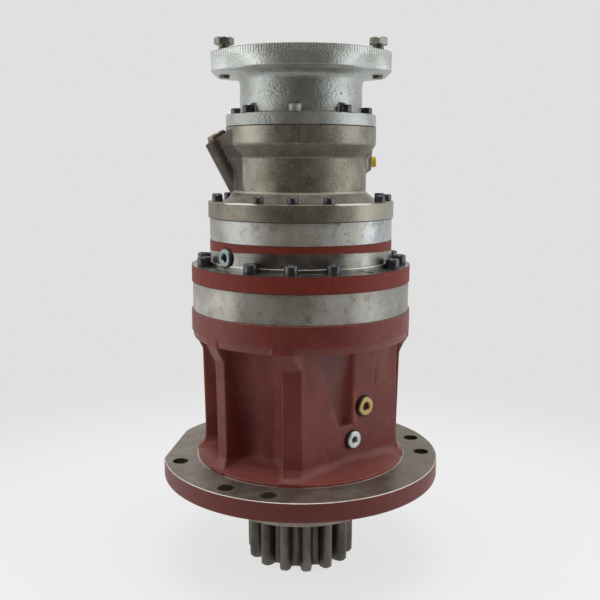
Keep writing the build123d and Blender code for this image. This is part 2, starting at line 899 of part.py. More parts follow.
with BuildPart() as output_sun:
    add(gear(output_module, output_sun_teeth, output_gear_bottom, output_face, planet_phase).part)
    with BuildSketch(Plane.XY.offset(output_gear_bottom + output_face)):
        Circle(sun_shaft_radius)
    extrude(amount=cover_top - output_gear_bottom - output_face)
output_sun.part.label = "output_sun"
export_step(output_sun.part, "parts/output_sun.step")

output_space_angle = planet_phase + 180 / output_ring_teeth
with BuildPart() as output_ring_gear:
    add(
        ring_gear(
            output_module,
            output_ring_teeth,
            output_ring_radius,
            housing_top,
            output_ring_height,
            output_space_angle,
        ).part
    )
    add(
        holes(
            Plane.XY.offset(output_ring_top),
            spots(cover_screw_circle, screw_angles),
            m12[0] + bolt_play,
            output_ring_height,
        ),
        mode=Mode.SUBTRACT,
    )
output_ring_gear.part.label = "output_ring_gear"
export_step(output_ring_gear.part, "parts/output_ring_gear.step")

# Stage cover between the ring gears
with BuildPart() as stage_cover:
    with BuildSketch(Plane.XZ):
        with BuildLine():
            Polyline(
                (carrier_cavity_radius, output_ring_top),
                (cover_radius, output_ring_top),
                (cover_radius, cover_plate_top),
                (cover_step_radius, cover_plate_top),
                (cover_step_radius, cover_plate_top + cover_step_height),
                (cover_neck_radius, cover_plate_top + cover_step_height),
                (cover_neck_radius, cover_top),
                (cover_bore_radius, cover_top),
                (cover_bore_radius, output_ring_top + cover_cavity_height),
                (carrier_cavity_radius, output_ring_top + cover_cavity_height),
                close=True,
            )
        make_face()
    revolve(axis=Axis.Z)
    for angles, play in ((screw_angles, bolt_play), (jack_angles, thread_play)):
        add(
            holes(
                Plane.XY.offset(cover_plate_top),
                spots(cover_screw_circle, angles),
                m12[0] + play,
                cover_plate_height,
            ),
            mode=Mode.SUBTRACT,
        )
    add(
        holes(
            Plane.XY.offset(cover_top),
            spots(brake_screw_circle, screw_angles),
            m8[0] + thread_play,
            m8[3] - brake_flange_height - input_ring_height + blind_spare,
        ),
        mode=Mode.SUBTRACT,
    )
    add(
        holes(stage_plug_seat.offset(cover_step_height), [(0, 0)], spot_face_radius, cover_step_height),
        mode=Mode.SUBTRACT,
    )
    add(
        holes(stage_plug_seat, [(0, 0)], plug_thread_radius + thread_play, cover_neck_radius),
        mode=Mode.SUBTRACT,
    )
stage_cover.part.label = "stage_cover"
export_step(stage_cover.part, "parts/stage_cover.step")

stage_cover_screws = cap_screws(
    Plane.XY.offset(cover_plate_top), spots(cover_screw_circle, screw_angles), m12
)
stage_cover_screws.part.label = "stage_cover_screws"
export_step(stage_cover_screws.part, "parts/stage_cover_screws.step")

# Input stage: carrier on the sun shaft, three planets and ring gear
input_carrier = planet_carrier(
    input_carrier_radius,
    (input_plate_bottom, input_plate_height),
    (input_cap_bottom, input_cap_height),
    (input_post_circle, input_post_size),
    (input_hub_radius, input_plate_bottom - input_hub_height),
    sun_shaft_radius + running_fit,
    input_module * input_sun_teeth / 2 + input_module + sun_play,
    (input_centres, input_pin_radius),
)
input_carrier.part.label = "input_carrier"
export_step(input_carrier.part, "parts/input_carrier.step")

input_pins = planet_pins(
    input_centres,
    input_pin_radius,
    input_plate_bottom + pin_recess,
    input_cap_bottom + input_cap_height - pin_recess,
)
input_pins.part.label = "input_pins"
export_step(input_pins.part, "parts/input_pins.step")

for number, angle in enumerate(planet_angles, 1):
    planet = gear(
        input_module,
        input_planet_teeth,
        input_gear_bottom,
        input_face,
        angle,
        polar(input_centres, angle),
        input_pin_radius + bush_wall,
    )
    planet.part.label = f"input_planet_{number}"
    export_step(planet.part, f"parts/input_planet_{number}.step")
    bush = planet_bush(input_centres, angle, input_pin_radius, input_gear_bottom, input_face)
    bush.part.label = f"input_bush_{number}"
    export_step(bush.part, f"parts/input_bush_{number}.step")

with BuildPart() as input_ring_gear:
    add(
        ring_gear(
            input_module, input_ring_teeth, input_ring_radius, cover_top, input_ring_height, planet_phase
        ).part
    )
    add(
        holes(
            Plane.XY.offset(input_ring_top),
            spots(brake_screw_circle, screw_angles),
            m8[0] + bolt_play,
            input_ring_height,
        ),
        mode=Mode.SUBTRACT,
    )
input_ring_gear.part.label = "input_ring_gear"
export_step(input_ring_gear.part, "parts/input_ring_gear.step")

# Brake housing with its slanted port boss and the release port
cavity_top = input_ring_top + brake_cavity_height
disc_floor = cavity_top + brake_web_height
tilt = radians(port_tilt)
port_height = brake_top - port_drop
port_seat = Plane(
    origin=(-port_reach, 0, port_height), x_dir=(0, 1, 0), z_dir=(-sin(tilt), 0, cos(tilt))
)
release_seat = outward_plane(90, release_boss_reach, brake_top - release_port_drop)
with BuildPart() as brake_housing:
    with BuildSketch(Plane.XZ):
        with BuildLine():
            Polyline(
                (0, input_ring_top),
                (brake_flange_radius, input_ring_top),
                (brake_flange_radius, brake_flange_top),
                (brake_foot_radius, brake_flange_top),
                (brake_wall_radius, brake_wall_bottom),
                (brake_wall_radius, brake_wall_top),
                (brake_band_radius, brake_band_bottom),
                (brake_band_radius, brake_top),
                (0, brake_top),
                close=True,
            )
        make_face()
        for level in (brake_wall_bottom, brake_wall_top):
            fillet(vertices().sort_by_distance((brake_wall_radius, level, 0))[0], brake_fillet)
    revolve(axis=Axis.Z)
    with BuildSketch(port_seat):
        Circle(port_boss_radius)
    extrude(amount=-(port_height - brake_flange_top + port_boss_root) / cos(tilt))
    with BuildSketch(release_seat):
        Circle(release_boss_radius)
    extrude(amount=-(release_boss_reach - piston_bore_radius))
    with BuildSketch(Plane.XZ):
        with BuildLine():
            Polyline(
                (0, input_ring_top),
                (brake_cavity_radius, input_ring_top),
                (brake_cavity_radius, cavity_top),
                (brake_web_bore, cavity_top),
                (brake_web_bore, disc_floor),
                (disc_bore_radius, disc_floor),
                (disc_bore_radius, brake_top - piston_step_drop),
                (piston_bore_radius, brake_top - piston_step_drop),
                (piston_bore_radius, brake_top),
                (0, brake_top),
                close=True,
            )
        make_face()
    revolve(axis=Axis.Z, mode=Mode.SUBTRACT)
    add(
        holes(port_seat.offset(port_boss_radius), [(0, 0)], port_boss_radius, port_boss_radius),
        mode=Mode.SUBTRACT,
    )
    add(holes(port_seat, [(0, 0)], port_thread_radius + thread_play, port_thread_depth), mode=Mode.SUBTRACT)
    add(
        holes(
            port_seat,
            [(0, 0)],
            port_passage_radius,
            (port_reach - disc_bore_radius + passage_overrun) / sin(tilt),
        ),
        mode=Mode.SUBTRACT,
    )
    add(
        holes(
            release_seat,
            [(0, 0)],
            release_port_radius,
            release_boss_reach - piston_bore_radius + passage_overrun,
        ),
        mode=Mode.SUBTRACT,
    )
    add(
        holes(
            Plane.XY.offset(brake_flange_top),
            spots(brake_screw_circle, screw_angles),
            m8[0] + bolt_play,
            brake_flange_height,
        ),
        mode=Mode.SUBTRACT,
    )
    add(
        holes(
            Plane.XY.offset(brake_top),
            spots(adapter_screw_circle, adapter_screw_angles),
            m10[0] + thread_play,
            m10[3] - adapter_base_height + blind_spare,
        ),
        mode=Mode.SUBTRACT,
    )
brake_housing.part.label = "brake_housing"
export_step(brake_housing.part, "parts/brake_housing.step")

brake_housing_screws = cap_screws(
    Plane.XY.offset(brake_flange_top), spots(brake_screw_circle, screw_angles), m8
)
brake_housing_screws.part.label = "brake_housing_screws"
export_step(brake_housing_screws.part, "parts/brake_housing_screws.step")

# Parking brake: discs clamped by the piston, which two disc springs press down
disc_pitch = 2 * (disc_thickness + disc_gap)
stack_top = disc_floor + disc_pitch * (steel_disc_count - 1) + disc_thickness


def brake_discs(inner, outer, bottom, count):
    """A pack of brake discs with the other pack's discs between them."""
    with BuildPart() as discs:
        for index in range(count):
            with BuildSketch(Plane.XY.offset(bottom + disc_pitch * index)):
                Circle(outer)
                Circle(inner, mode=Mode.SUBTRACT)
            extrude(amount=disc_thickness)
    return discs


brake_steel_discs = brake_discs(
    steel_disc_bore, disc_bore_radius - disc_edge_play, disc_floor, steel_disc_count
)
brake_steel_discs.part.label = "brake_steel_discs"
export_step(brake_steel_discs.part, "parts/brake_steel_discs.step")

brake_friction_discs = brake_discs(
    friction_disc_bore, friction_disc_radius, disc_floor + disc_pitch / 2, steel_disc_count - 1
)
brake_friction_discs.part.label = "brake_friction_discs"
export_step(brake_friction_discs.part, "parts/brake_friction_discs.step")

brake_piston = turned(
    (piston_bore, stack_top),
    (disc_bore_radius - running_fit, stack_top),
    (disc_bore_radius - running_fit, brake_top - piston_land_drop),
    (piston_bore_radius - running_fit, brake_top - piston_land_drop),
    (piston_bore_radius - running_fit, piston_top),
    (piston_bore, piston_top),
)
brake_piston.part.label = "brake_piston"
export_step(brake_piston.part, "parts/brake_piston.step")

spring_middle = (piston_top + brake_top) / 2
lower_disc_spring = turned(
    (spring_outer, piston_top),
    (spring_outer, piston_top + spring_thickness),
    (spring_inner, spring_middle),
    (spring_inner, spring_middle - spring_thickness),
)
lower_disc_spring.part.label = "lower_disc_spring"
export_step(lower_disc_spring.part, "parts/lower_disc_spring.step")

upper_disc_spring = turned(
    (spring_outer, brake_top),
    (spring_outer, brake_top - spring_thickness),
    (spring_inner, spring_middle),
    (spring_inner, spring_middle + spring_thickness),
)
upper_disc_spring.part.label = "upper_disc_spring"
export_step(upper_disc_spring.part, "parts/upper_disc_spring.step")

# Input shaft: sun gear, brake hub, bearing seat and the blind bore for the motor shaft
input_bearing_bottom = brake_top + adapter_web
hub_bottom = disc_floor + brake_hub_overlap
hub_top = stack_top + brake_hub_overlap
with BuildPart() as input_shaft:
    add(gear(input_module, input_sun_teeth, input_gear_bottom, input_face, planet_phase).part)
    with BuildSketch(Plane.XZ):
        with BuildLine():
            Polyline(
                (0, input_gear_bottom + input_face),
                (input_neck_radius, input_gear_bottom + input_face),
                (input_neck_radius, hub_bottom),
                (friction_disc_bore - running_fit, hub_bottom),
                (friction_disc_bore - running_fit, hub_top),
                (input_collar_radius, hub_top),
                (input_collar_radius, input_bearing_bottom),
                (input_bearing_bore, input_bearing_bottom),
                (input_bearing_bore, input_shaft_top),
                (motor_spline_radius, input_shaft_top),
                (motor_spline_radius, input_shaft_top - motor_spline_depth),
                (0, input_shaft_top - motor_spline_depth),
                close=True,
            )
        make_face()
    revolve(axis=Axis.Z)
input_shaft.part.label = "input_shaft"
export_step(input_shaft.part, "parts/input_shaft.step")

input_bearing_outer_ring = turned_ring(
    input_bearing_outer - input_bearing_wall, input_bearing_outer, input_bearing_bottom, input_bearing_width
)
input_bearing_outer_ring.part.label = "input_bearing_outer_ring"
export_step(input_bearing_outer_ring.part, "parts/input_bearing_outer_ring.step")

input_bearing_inner_ring = turned_ring(
    input_bearing_bore,
    input_bearing_outer - input_bearing_wall - bearing_play,
    input_bearing_bottom,
    input_bearing_width,
)
input_bearing_inner_ring.part.label = "input_bearing_inner_ring"
export_step(input_bearing_inner_ring.part, "parts/input_bearing_inner_ring.step")

bearing_snap_ring = turned_ring(
    input_bearing_bore + running_fit,
    input_bearing_bore + snap_ring_wall,
    input_bearing_bottom + input_bearing_width,
    snap_ring_height,
)
bearing_snap_ring.part.label = "bearing_snap_ring"
export_step(bearing_snap_ring.part, "parts/bearing_snap_ring.step")

# Motor adapter with its two-eared top flange
neck_top = adapter_top - adapter_flange_height
bearing_room_top = input_bearing_bottom + input_bearing_width + input_bearing_spare
scallop_height = m10[2] + adapter_scallop_spare
with BuildPart() as motor_adapter:
    with BuildSketch(Plane.XZ):
        with BuildLine():
            Polyline(
                (0, brake_top),
                (adapter_base_radius, brake_top),
                (adapter_base_radius, adapter_foot_top),
                (adapter_neck_radius, adapter_foot_top),
                (adapter_neck_radius, neck_top),
                (adapter_neck_radius + adapter_fillet, neck_top),
                (adapter_neck_radius + adapter_fillet, neck_top + adapter_fillet),
                (0, neck_top + adapter_fillet),
                close=True,
            )
        make_face()
        for level, size in ((neck_top, adapter_fillet), (adapter_foot_top, adapter_foot_fillet)):
            fillet(vertices().sort_by_distance((adapter_neck_radius, level, 0))[0], size)
    revolve(axis=Axis.Z)
    with BuildSketch(Plane.XY.offset(neck_top)):
        Circle(adapter_flange_radius)
        Rectangle(adapter_flange_width, 2 * adapter_flange_radius, mode=Mode.INTERSECT)
        fillet(vertices(), adapter_corner)
    extrude(amount=adapter_flange_height)
    with BuildSketch(Plane.XZ):
        with BuildLine():
            Polyline(
                (0, brake_top),
                (input_bearing_outer - input_bearing_lip, brake_top),
                (input_bearing_outer - input_bearing_lip, input_bearing_bottom),
                (input_bearing_outer, input_bearing_bottom),
                (input_bearing_outer, bearing_room_top),
                (adapter_cavity_radius, bearing_room_top),
                (adapter_cavity_radius, adapter_top - motor_pilot_depth),
                (motor_pilot_radius, adapter_top - motor_pilot_depth),
                (motor_pilot_radius, adapter_top),
                (0, adapter_top),
                close=True,
            )
        make_face()
    revolve(axis=Axis.Z, mode=Mode.SUBTRACT)
    add(
        holes(adapter_screw_seat, adapter_screw_spots, m10[0] + bolt_play, adapter_base_height),
        mode=Mode.SUBTRACT,
    )
    add(
        holes(
            adapter_screw_seat.offset(scallop_height),
            adapter_screw_spots,
            m10[1] + scallop_play,
            scallop_height,
        ),
        mode=Mode.SUBTRACT,
    )
    add(
        holes(
            Plane.XY.offset(adapter_top),
            motor_bolt_spots,
            motor_bolt_radius + thread_play,
            adapter_flange_height,
        ),
        mode=Mode.SUBTRACT,
    )
motor_adapter.part.label = "motor_adapter"
export_step(motor_adapter.part, "parts/motor_adapter.step")

adapter_screws = cap_screws(adapter_screw_seat, adapter_screw_spots, m10)
adapter_screws.part.label = "adapter_screws"
export_step(adapter_screws.part, "parts/adapter_screws.step")

with BuildPart() as motor_bolts:
    with BuildSketch(Plane.XY.offset(adapter_top + motor_bolt_lift)):
        with Locations(*motor_bolt_spots):
            RegularPolygon(motor_bolt_head / 2, 6, major_radius=False)
    extrude(amount=motor_bolt_head_height)
    with BuildSketch(Plane.XY.offset(adapter_top + motor_bolt_lift)):
        with Locations(*motor_bolt_spots):
            Circle(motor_bolt_radius)
    extrude(amount=-motor_bolt_length)
motor_bolts.part.label = "motor_bolts"
export_step(motor_bolts.part, "parts/motor_bolts.step")

# Oil plugs and port plugs
level_plug = socket_plug(
    level_plug_seat.offset(washer_thickness),
    level_plug_collar,
    plug_collar_height,
    plug_thread_radius,
    plug_thread_length,
    plug_socket,
)
level_plug.part.label = "level_plug"
export_step(level_plug.part, "parts/level_plug.step")

drain_plug = socket_plug(
    drain_plug_seat.offset(washer_thickness),
    drain_plug_collar,
    plug_collar_height,
    plug_thread_radius,
    plug_thread_length,
    plug_socket,
)
drain_plug.part.label = "drain_plug"
export_step(drain_plug.part, "parts/drain_plug.step")

stage_plug = socket_plug(
    stage_plug_seat.offset(washer_thickness),
    drain_plug_collar,
    plug_collar_height,
    plug_thread_radius,
    plug_thread_length,
    plug_socket,
)
stage_plug.part.label = "stage_plug"
export_step(stage_plug.part, "parts/stage_plug.step")

with BuildPart() as plug_washers:
    for seat, collar in (
        (level_plug_seat, level_plug_collar),
        (drain_plug_seat, drain_plug_collar),
        (stage_plug_seat, drain_plug_collar),
    ):
        with BuildSketch(seat):
            Circle(collar + washer_overhang)
            Circle(plug_thread_radius + thread_play, mode=Mode.SUBTRACT)
        extrude(amount=washer_thickness)
plug_washers.part.label = "plug_washers"
export_step(plug_washers.part, "parts/plug_washers.step")

port_plug = socket_plug(
    port_seat.offset(washer_thickness),
    level_plug_collar,
    plug_collar_height,
    port_thread_radius,
    plug_thread_length,
    plug_socket,
)
port_plug.part.label = "port_plug"
export_step(port_plug.part, "parts/port_plug.step")

with BuildPart() as port_washer:
    with BuildSketch(port_seat):
        Circle(level_plug_collar + washer_overhang)
        Circle(port_thread_radius + thread_play, mode=Mode.SUBTRACT)
    extrude(amount=washer_thickness)
port_washer.part.label = "port_washer"
export_step(port_washer.part, "parts/port_washer.step")

with BuildPart() as release_port_cap:
    with BuildSketch(release_seat):
        Circle(release_cap_radius)
    extrude(amount=release_cap_height)
    with BuildSketch(release_seat):
        Circle(release_port_radius - running_fit)
    extrude(amount=-release_cap_height)
release_port_cap.part.label = "release_port_cap"
export_step(release_port_cap.part, "parts/release_port_cap.step")
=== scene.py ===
import math
import bmesh
import bpy
import numpy as np
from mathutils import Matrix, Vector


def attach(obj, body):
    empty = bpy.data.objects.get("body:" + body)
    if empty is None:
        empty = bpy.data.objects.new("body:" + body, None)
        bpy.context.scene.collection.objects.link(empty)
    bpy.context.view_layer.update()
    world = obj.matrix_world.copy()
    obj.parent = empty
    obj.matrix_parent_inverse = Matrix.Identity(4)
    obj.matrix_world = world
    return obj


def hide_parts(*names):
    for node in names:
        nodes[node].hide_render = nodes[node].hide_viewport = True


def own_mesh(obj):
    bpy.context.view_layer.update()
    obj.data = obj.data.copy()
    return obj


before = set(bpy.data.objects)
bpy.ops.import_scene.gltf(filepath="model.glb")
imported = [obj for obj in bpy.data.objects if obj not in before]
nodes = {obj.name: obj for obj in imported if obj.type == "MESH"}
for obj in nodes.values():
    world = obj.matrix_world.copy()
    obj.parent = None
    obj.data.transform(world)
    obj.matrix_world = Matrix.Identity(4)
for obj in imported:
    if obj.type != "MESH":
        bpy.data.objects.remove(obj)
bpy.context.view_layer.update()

# Main housing
# One ductile iron casting: a waisted core, ribs that flare at their feet, a flat cheek for the oil plugs
# and a turned band on top. Its dark red primer is sprayed on, and rubbed thin along the edges.
mm = 0.001
gear_axis = "gearbox"
core_heights = [31, 50, 80, 130, 199, 210]
core_radii = [110, 105.5, 103, 107.5, 119, 122]
rib_face_heights = [31, 38, 48, 62, 181, 207, 219]
rib_face_radii = [147.5, 143.5, 141, 140.3, 142.7, 156.5, 156.5]
rib_limit = 155.4
rib_step = 45.0
first_rib = -5.0
rib_half_width = 10.5
front_rib_half_width = 13.5
ledge_bottom = 205.0
band_heights = [ledge_bottom, 214.5, 215.3]
band_radii = [153.2, 154.6, 156.0]
casting_bottom = 27.0
casting_top = 243.7
deck_radius = 149.5
deck_height = 31.0
deck_slope = 0.235
cheek_angle = 40.0
cheek_reach = 110.0
cheek_half = 88.4
strip_left = 2.7
strip_right = 43.0
left_pocket_depths = (19.0, 6.0)
left_pocket_draft = 0.62
left_pocket_sill = 92.5
sill_draft = 0.3
right_pocket_depth = 5.0
right_pocket_sill = 144.0
pocket_top = 204.0


def smooth_join(one, other, fillet):
    """Two solids cast together, from their distances, with a fillet in the corner between them."""
    near = np.maximum(fillet - np.abs(one - other), 0) / fillet
    return np.minimum(one, other) - near * near * fillet / 4


def smooth_cut(one, other, edge):
    """What two solids have in common, with a rounded edge."""
    return -smooth_join(-one, -other, edge)


def seen_from(x, y, angle):
    """How far points lie outward and sideways, seen from an angle round the axis. The front is 0."""
    turn = math.radians(angle)
    return x * math.sin(turn) - y * math.cos(turn), x * math.cos(turn) + y * math.sin(turn)


def housing_distance(x, y, z):
    """Roughly how far points lie outside the housing casting."""
    radius = np.hypot(x, y)
    body = radius - np.interp(z, core_heights, core_radii)
    face = np.interp(z, rib_face_heights, rib_face_radii)
    for index in (0, 2, 3, 4, 5, 6, 7):
        outward, sideways = seen_from(x, y, first_rib + rib_step * index)
        half = front_rib_half_width if index == 0 else rib_half_width
        half = half + np.interp(z, [170, 206], [0, 2.0]) + 0.03 * (140 - outward)
        if index == 0:
            sideways = sideways + np.interp(z, [181, 207], [-1.6, 9.7])
        rib = smooth_cut(np.abs(sideways) - half, np.maximum(outward - face, radius - rib_limit), 2.0)
        rib = np.maximum(rib, -outward)
        body = smooth_join(body, rib, np.interp(z, [60, 180], [15, 24]))
    outward, sideways = seen_from(x, y, cheek_angle)
    spread = np.interp(z, [178, 207], [0, 16])
    block = smooth_cut(outward - cheek_reach, np.maximum(sideways, -sideways - spread) - cheek_half, 3)
    body = smooth_join(body, np.maximum(block, -outward), 4)
    body = smooth_cut(body, outward - cheek_reach - np.interp(z, [196, 214], [0, 40]), 2.5)
    left_edge = np.interp(z, [97.9, 197], [-27.5, -62])
    share = np.clip((sideways - left_edge) / (strip_left - left_edge), -1, 1)
    pocket = cheek_reach - np.interp(z, [98, 192], left_pocket_depths) * share - outward
    wall = (sideways - strip_left + left_pocket_draft * (cheek_reach - outward)) * 0.85
    pocket = smooth_cut(pocket, wall, 2.5)
    pocket = smooth_cut(pocket, left_pocket_sill + sill_draft * (cheek_reach - outward) - z, 3)
    body = smooth_cut(body, -np.maximum(pocket, z - pocket_top), 3)
    right_edge = np.interp(z, [144, 188.4], [44, 71.3])
    share = np.clip((right_edge - sideways) / np.maximum(right_edge - strip_right, 1), -1, 1)
    pocket = cheek_reach - right_pocket_depth * share - outward
    pocket = smooth_cut(pocket, strip_right - sideways, 3)
    pocket = smooth_cut(pocket, np.maximum(right_pocket_sill - z, z - pocket_top + 1), 4)
    body = smooth_cut(body, -pocket, 3)
    deck = z - deck_height - deck_slope * np.clip(deck_radius - radius, 0, 60)
    body = smooth_join(body, smooth_cut(deck, radius - deck_radius, 1.2), 10)
    band = radius - np.interp(z, band_heights, band_radii)
    band = smooth_cut(band, ledge_bottom - z, 1.5)
    body = np.where(z < 211, smooth_join(body, band, 3), np.minimum(body, band))
    return smooth_cut(body, z - casting_top, 1.2)


def cast(name, distance, angles, heights, inside, outside, bore):
    """A casting with a turned bore. At each height and angle its wall is found by halving along a ray."""
    turn = np.radians(angles)[None, :]
    level = np.asarray(heights, float)[:, None]
    low = np.full((len(heights), len(angles)), float(inside))
    high = np.full_like(low, float(outside))
    for _ in range(26):
        middle = (low + high) / 2
        solid = distance(middle * np.sin(turn), -middle * np.cos(turn), level + 0 * middle) < 0
        low = np.where(solid, middle, low)
        high = np.where(solid, high, middle)
    return skin(name, turned_rings([*zip((low + high) / 2, heights), *bore], angles))


def turned_rings(corners, angles):
    """Rings of points through (radius, height) corners. A radius can be one number or one for each angle."""
    turn = np.radians(angles)
    return [np.stack([r * np.sin(turn), -r * np.cos(turn), z + 0 * turn], 1) for r, z in corners]


def even_angles(count):
    return np.linspace(0, 360, count, endpoint=False)


def angles_with(step, *more):
    """Angles at an even step all round, with more of them where the shape needs it."""
    return np.unique(np.round(np.mod(np.concatenate([np.arange(0, 360, step), *more]), 360), 2))


def put(name, data):
    """A new object in the scene."""
    made = bpy.data.objects.new(name, data)
    bpy.context.scene.collection.objects.link(made)
    return made


def skin(name, rings, closed=True, copies=None):
    """A mesh over rings of points. A closed one joins its last ring to its first, the rest are capped."""
    count = len(rings[0])
    points = np.concatenate(rings)
    here = np.arange(count)
    after = np.roll(here, -1)
    faces = []
    for index in range(len(rings) if closed else len(rings) - 1):
        one, other = index * count, (index + 1) % len(rings) * count
        faces += np.stack([one + here, one + after, other + after, other + here], 1).tolist()
    if not closed:
        faces.append(here[::-1].tolist())
        faces.append((here + (len(rings) - 1) * count).tolist())
    placed = [points]
    if copies is not None:
        placed = [points @ np.array(turn).T + np.array(place) for turn, place in copies]
    starts = [index * len(points) for index in range(len(placed))]
    every_face = [[corner + start for corner in face] for start in starts for face in faces]
    mesh = bpy.data.meshes.new(name)
    mesh.from_pydata((np.concatenate(placed) * mm).tolist(), [], every_face)
    shape = bmesh.new()
    shape.from_mesh(mesh)
    bmesh.ops.recalc_face_normals(shape, faces=shape.faces)
    shape.to_mesh(mesh)
    shape.free()
    mesh.shade_smooth()
    return put(name, mesh)


def round_edges(piece, width, limit):
    """Small rounded edges in millimetres, which catch the light as a machined edge does."""
    bevel = piece.modifiers.new("rounded_edges", "BEVEL")
    bevel.width = width * mm
    bevel.segments = 2
    bevel.limit_method = "ANGLE"
    bevel.angle_limit = math.radians(limit)
    bevel.harden_normals = True


def fit(piece, material, node, sharp=None, body=gear_axis):
    """Gives a piece its finish, hangs it on the body it moves with and hides the CAD node that it stands in
    for.
    """
    piece.data.materials.append(material)
    if sharp:
        piece.data.set_sharp_from_angle(angle=math.radians(sharp))
    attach(piece, body)
    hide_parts(node)


class Value:
    """A number that is worked out at each point of a surface. Sums with it add the nodes that do them."""

    def __init__(self, graph, socket):
        self.graph = graph
        self.socket = socket

    def __add__(self, other):
        return self.graph.math("ADD", self, other)

    def __sub__(self, other):
        return self.graph.math("SUBTRACT", self, other)

    def __rsub__(self, other):
        return self.graph.math("SUBTRACT", other, self)

    def __mul__(self, other):
        return self.graph.math("MULTIPLY", self, other)

    def steps(self, low, high):
        """0 below low, 1 above high and a smooth change between them."""
        ends = {"Value": self, "From Min": low, "From Max": high}
        return self.graph.node("MapRange", "Result", ends, interpolation_type="SMOOTHSTEP")

    def between(self, low, high, blur):
        """1 from low to high and 0 outside them, with a soft border."""
        return self.steps(low - blur, low + blur) * self.steps(high + blur, high - blur)


class Graph:
    """The nodes of a material or of the room, added in small steps."""

    def __init__(self, owner):
        owner.use_nodes = True
        self.tree = owner.node_tree

    def node(self, kind, output, inputs, **settings):
        """One new node with its settings and inputs, for one of its outputs."""
        made = self.tree.nodes.new("ShaderNode" + kind)
        for key, value in settings.items():
            setattr(made, key, value)
        for key, value in inputs.items():
            self.link(value, made.inputs[key])
        return Value(self, made.outputs[output])

    def link(self, source, target):
        if isinstance(source, Value):
            self.tree.links.new(source.socket, target)
        else:
            target.default_value = source

    def math(self, operation, one, other=0.0):
        return self.node("Math", 0, {0: one, 1: other}, operation=operation)

    def larger(self, one, other):
        return self.math("MAXIMUM", one, other)

    def length(self, one, other):
        """How far off a point lies, from its distances along two axes."""
        return self.math("SQRT", one * one + other * other)

    def mix(self, share, one, other):
        """One colour over another by a share."""
        return self.node("Mix", "Result", {"Factor": share, "A": one, "B": other}, data_type="RGBA")


class Finish(Graph):
    """A material that is built up from small steps on the object's own coordinates."""

    def __init__(self, name, metallic=0.0, roughness=0.5, shine=0.5):
        self.material = bpy.data.materials.new(name)
        super().__init__(self.material)
        self.shader = self.tree.nodes["Principled BSDF"]
        values = {"Metallic": metallic, "Roughness": roughness, "Specular IOR Level": shine}
        for key, value in values.items():
            self.link(value, self.shader.inputs[key])
        self.place = self.node("TexCoord", "Object", {})
        self.normal = None

    def noise(self, size, detail=3.0, stretch=(1, 1, 1), roughness=0.55):
        """Soft random values from 0 to 1, with blotches of about the given size in millimetres."""
        place = self.node("Mapping", "Vector", {"Scale": stretch, "Vector": self.place})
        inputs = {"Scale": 1 / (size * mm), "Detail": detail, "Roughness": roughness, "Vector": place}
        return self.node("TexNoise", "Fac", inputs)

    def cells(self, size):
        """Distance to the nearest of many scattered points, as in a hammered or pitted skin."""
        return self.node("TexVoronoi", "Distance", {"Scale": 1 / (size * mm), "Vector": self.place})

    def coordinate(self, axis):
        """X, Y or Z in the part's frame, in millimetres."""
        return self.node("SeparateXYZ", axis, {"Vector": self.place}) * (1 / mm)

    def radius(self):
        """Distance from the gear axis in millimetres."""
        return self.length(self.coordinate("X"), self.coordinate("Y"))

    def seen_from(self, angle):
        return seen_from(self.coordinate("X"), self.coordinate("Y"), angle)

    def edges(self, low, high):
        """1 on sharp outer edges and 0 on flat faces, or 1 in hollows where low is above high."""
        return self.node("NewGeometry", "Pointiness", {}).steps(low, high)

    def coats(self, colour, *coats):
        """Tones over one another, each with its share of the surface, its strength and its screen values."""
        for share, strength, *shade in coats:
            colour = self.mix(share * strength, colour, tone(*shade))
        return colour

    def bump(self, height, depth, strength):
        """Relief whose full height is given in millimetres."""
        inputs = {"Strength": strength, "Distance": depth * mm, "Height": height}
        if self.normal is not None:
            inputs["Normal"] = self.normal
        self.normal = self.node("Bump", "Normal", inputs)

    def soft_edges(self, width):
        """Rounds the shading over hard CAD edges by a width in millimetres."""
        self.normal = self.node("Bevel", "Normal", {"Radius": width * mm}, samples=4)

    def done(self, colour, roughness=None, metallic=None):
        values = {"Base Color": colour, "Roughness": roughness, "Metallic": metallic, "Normal": self.normal}
        for name, value in values.items():
            if value is not None:
                self.link(value, self.shader.inputs[name])
        return self.material


def tone(*screen):
    """A red, green and blue as they look on a screen, from 0 to 255, in the renderer's linear values."""
    return tuple(((c / 255 + 0.055) / 1.055) ** 2.4 if c > 10 else c / 255 / 12.92 for c in screen) + (1,)


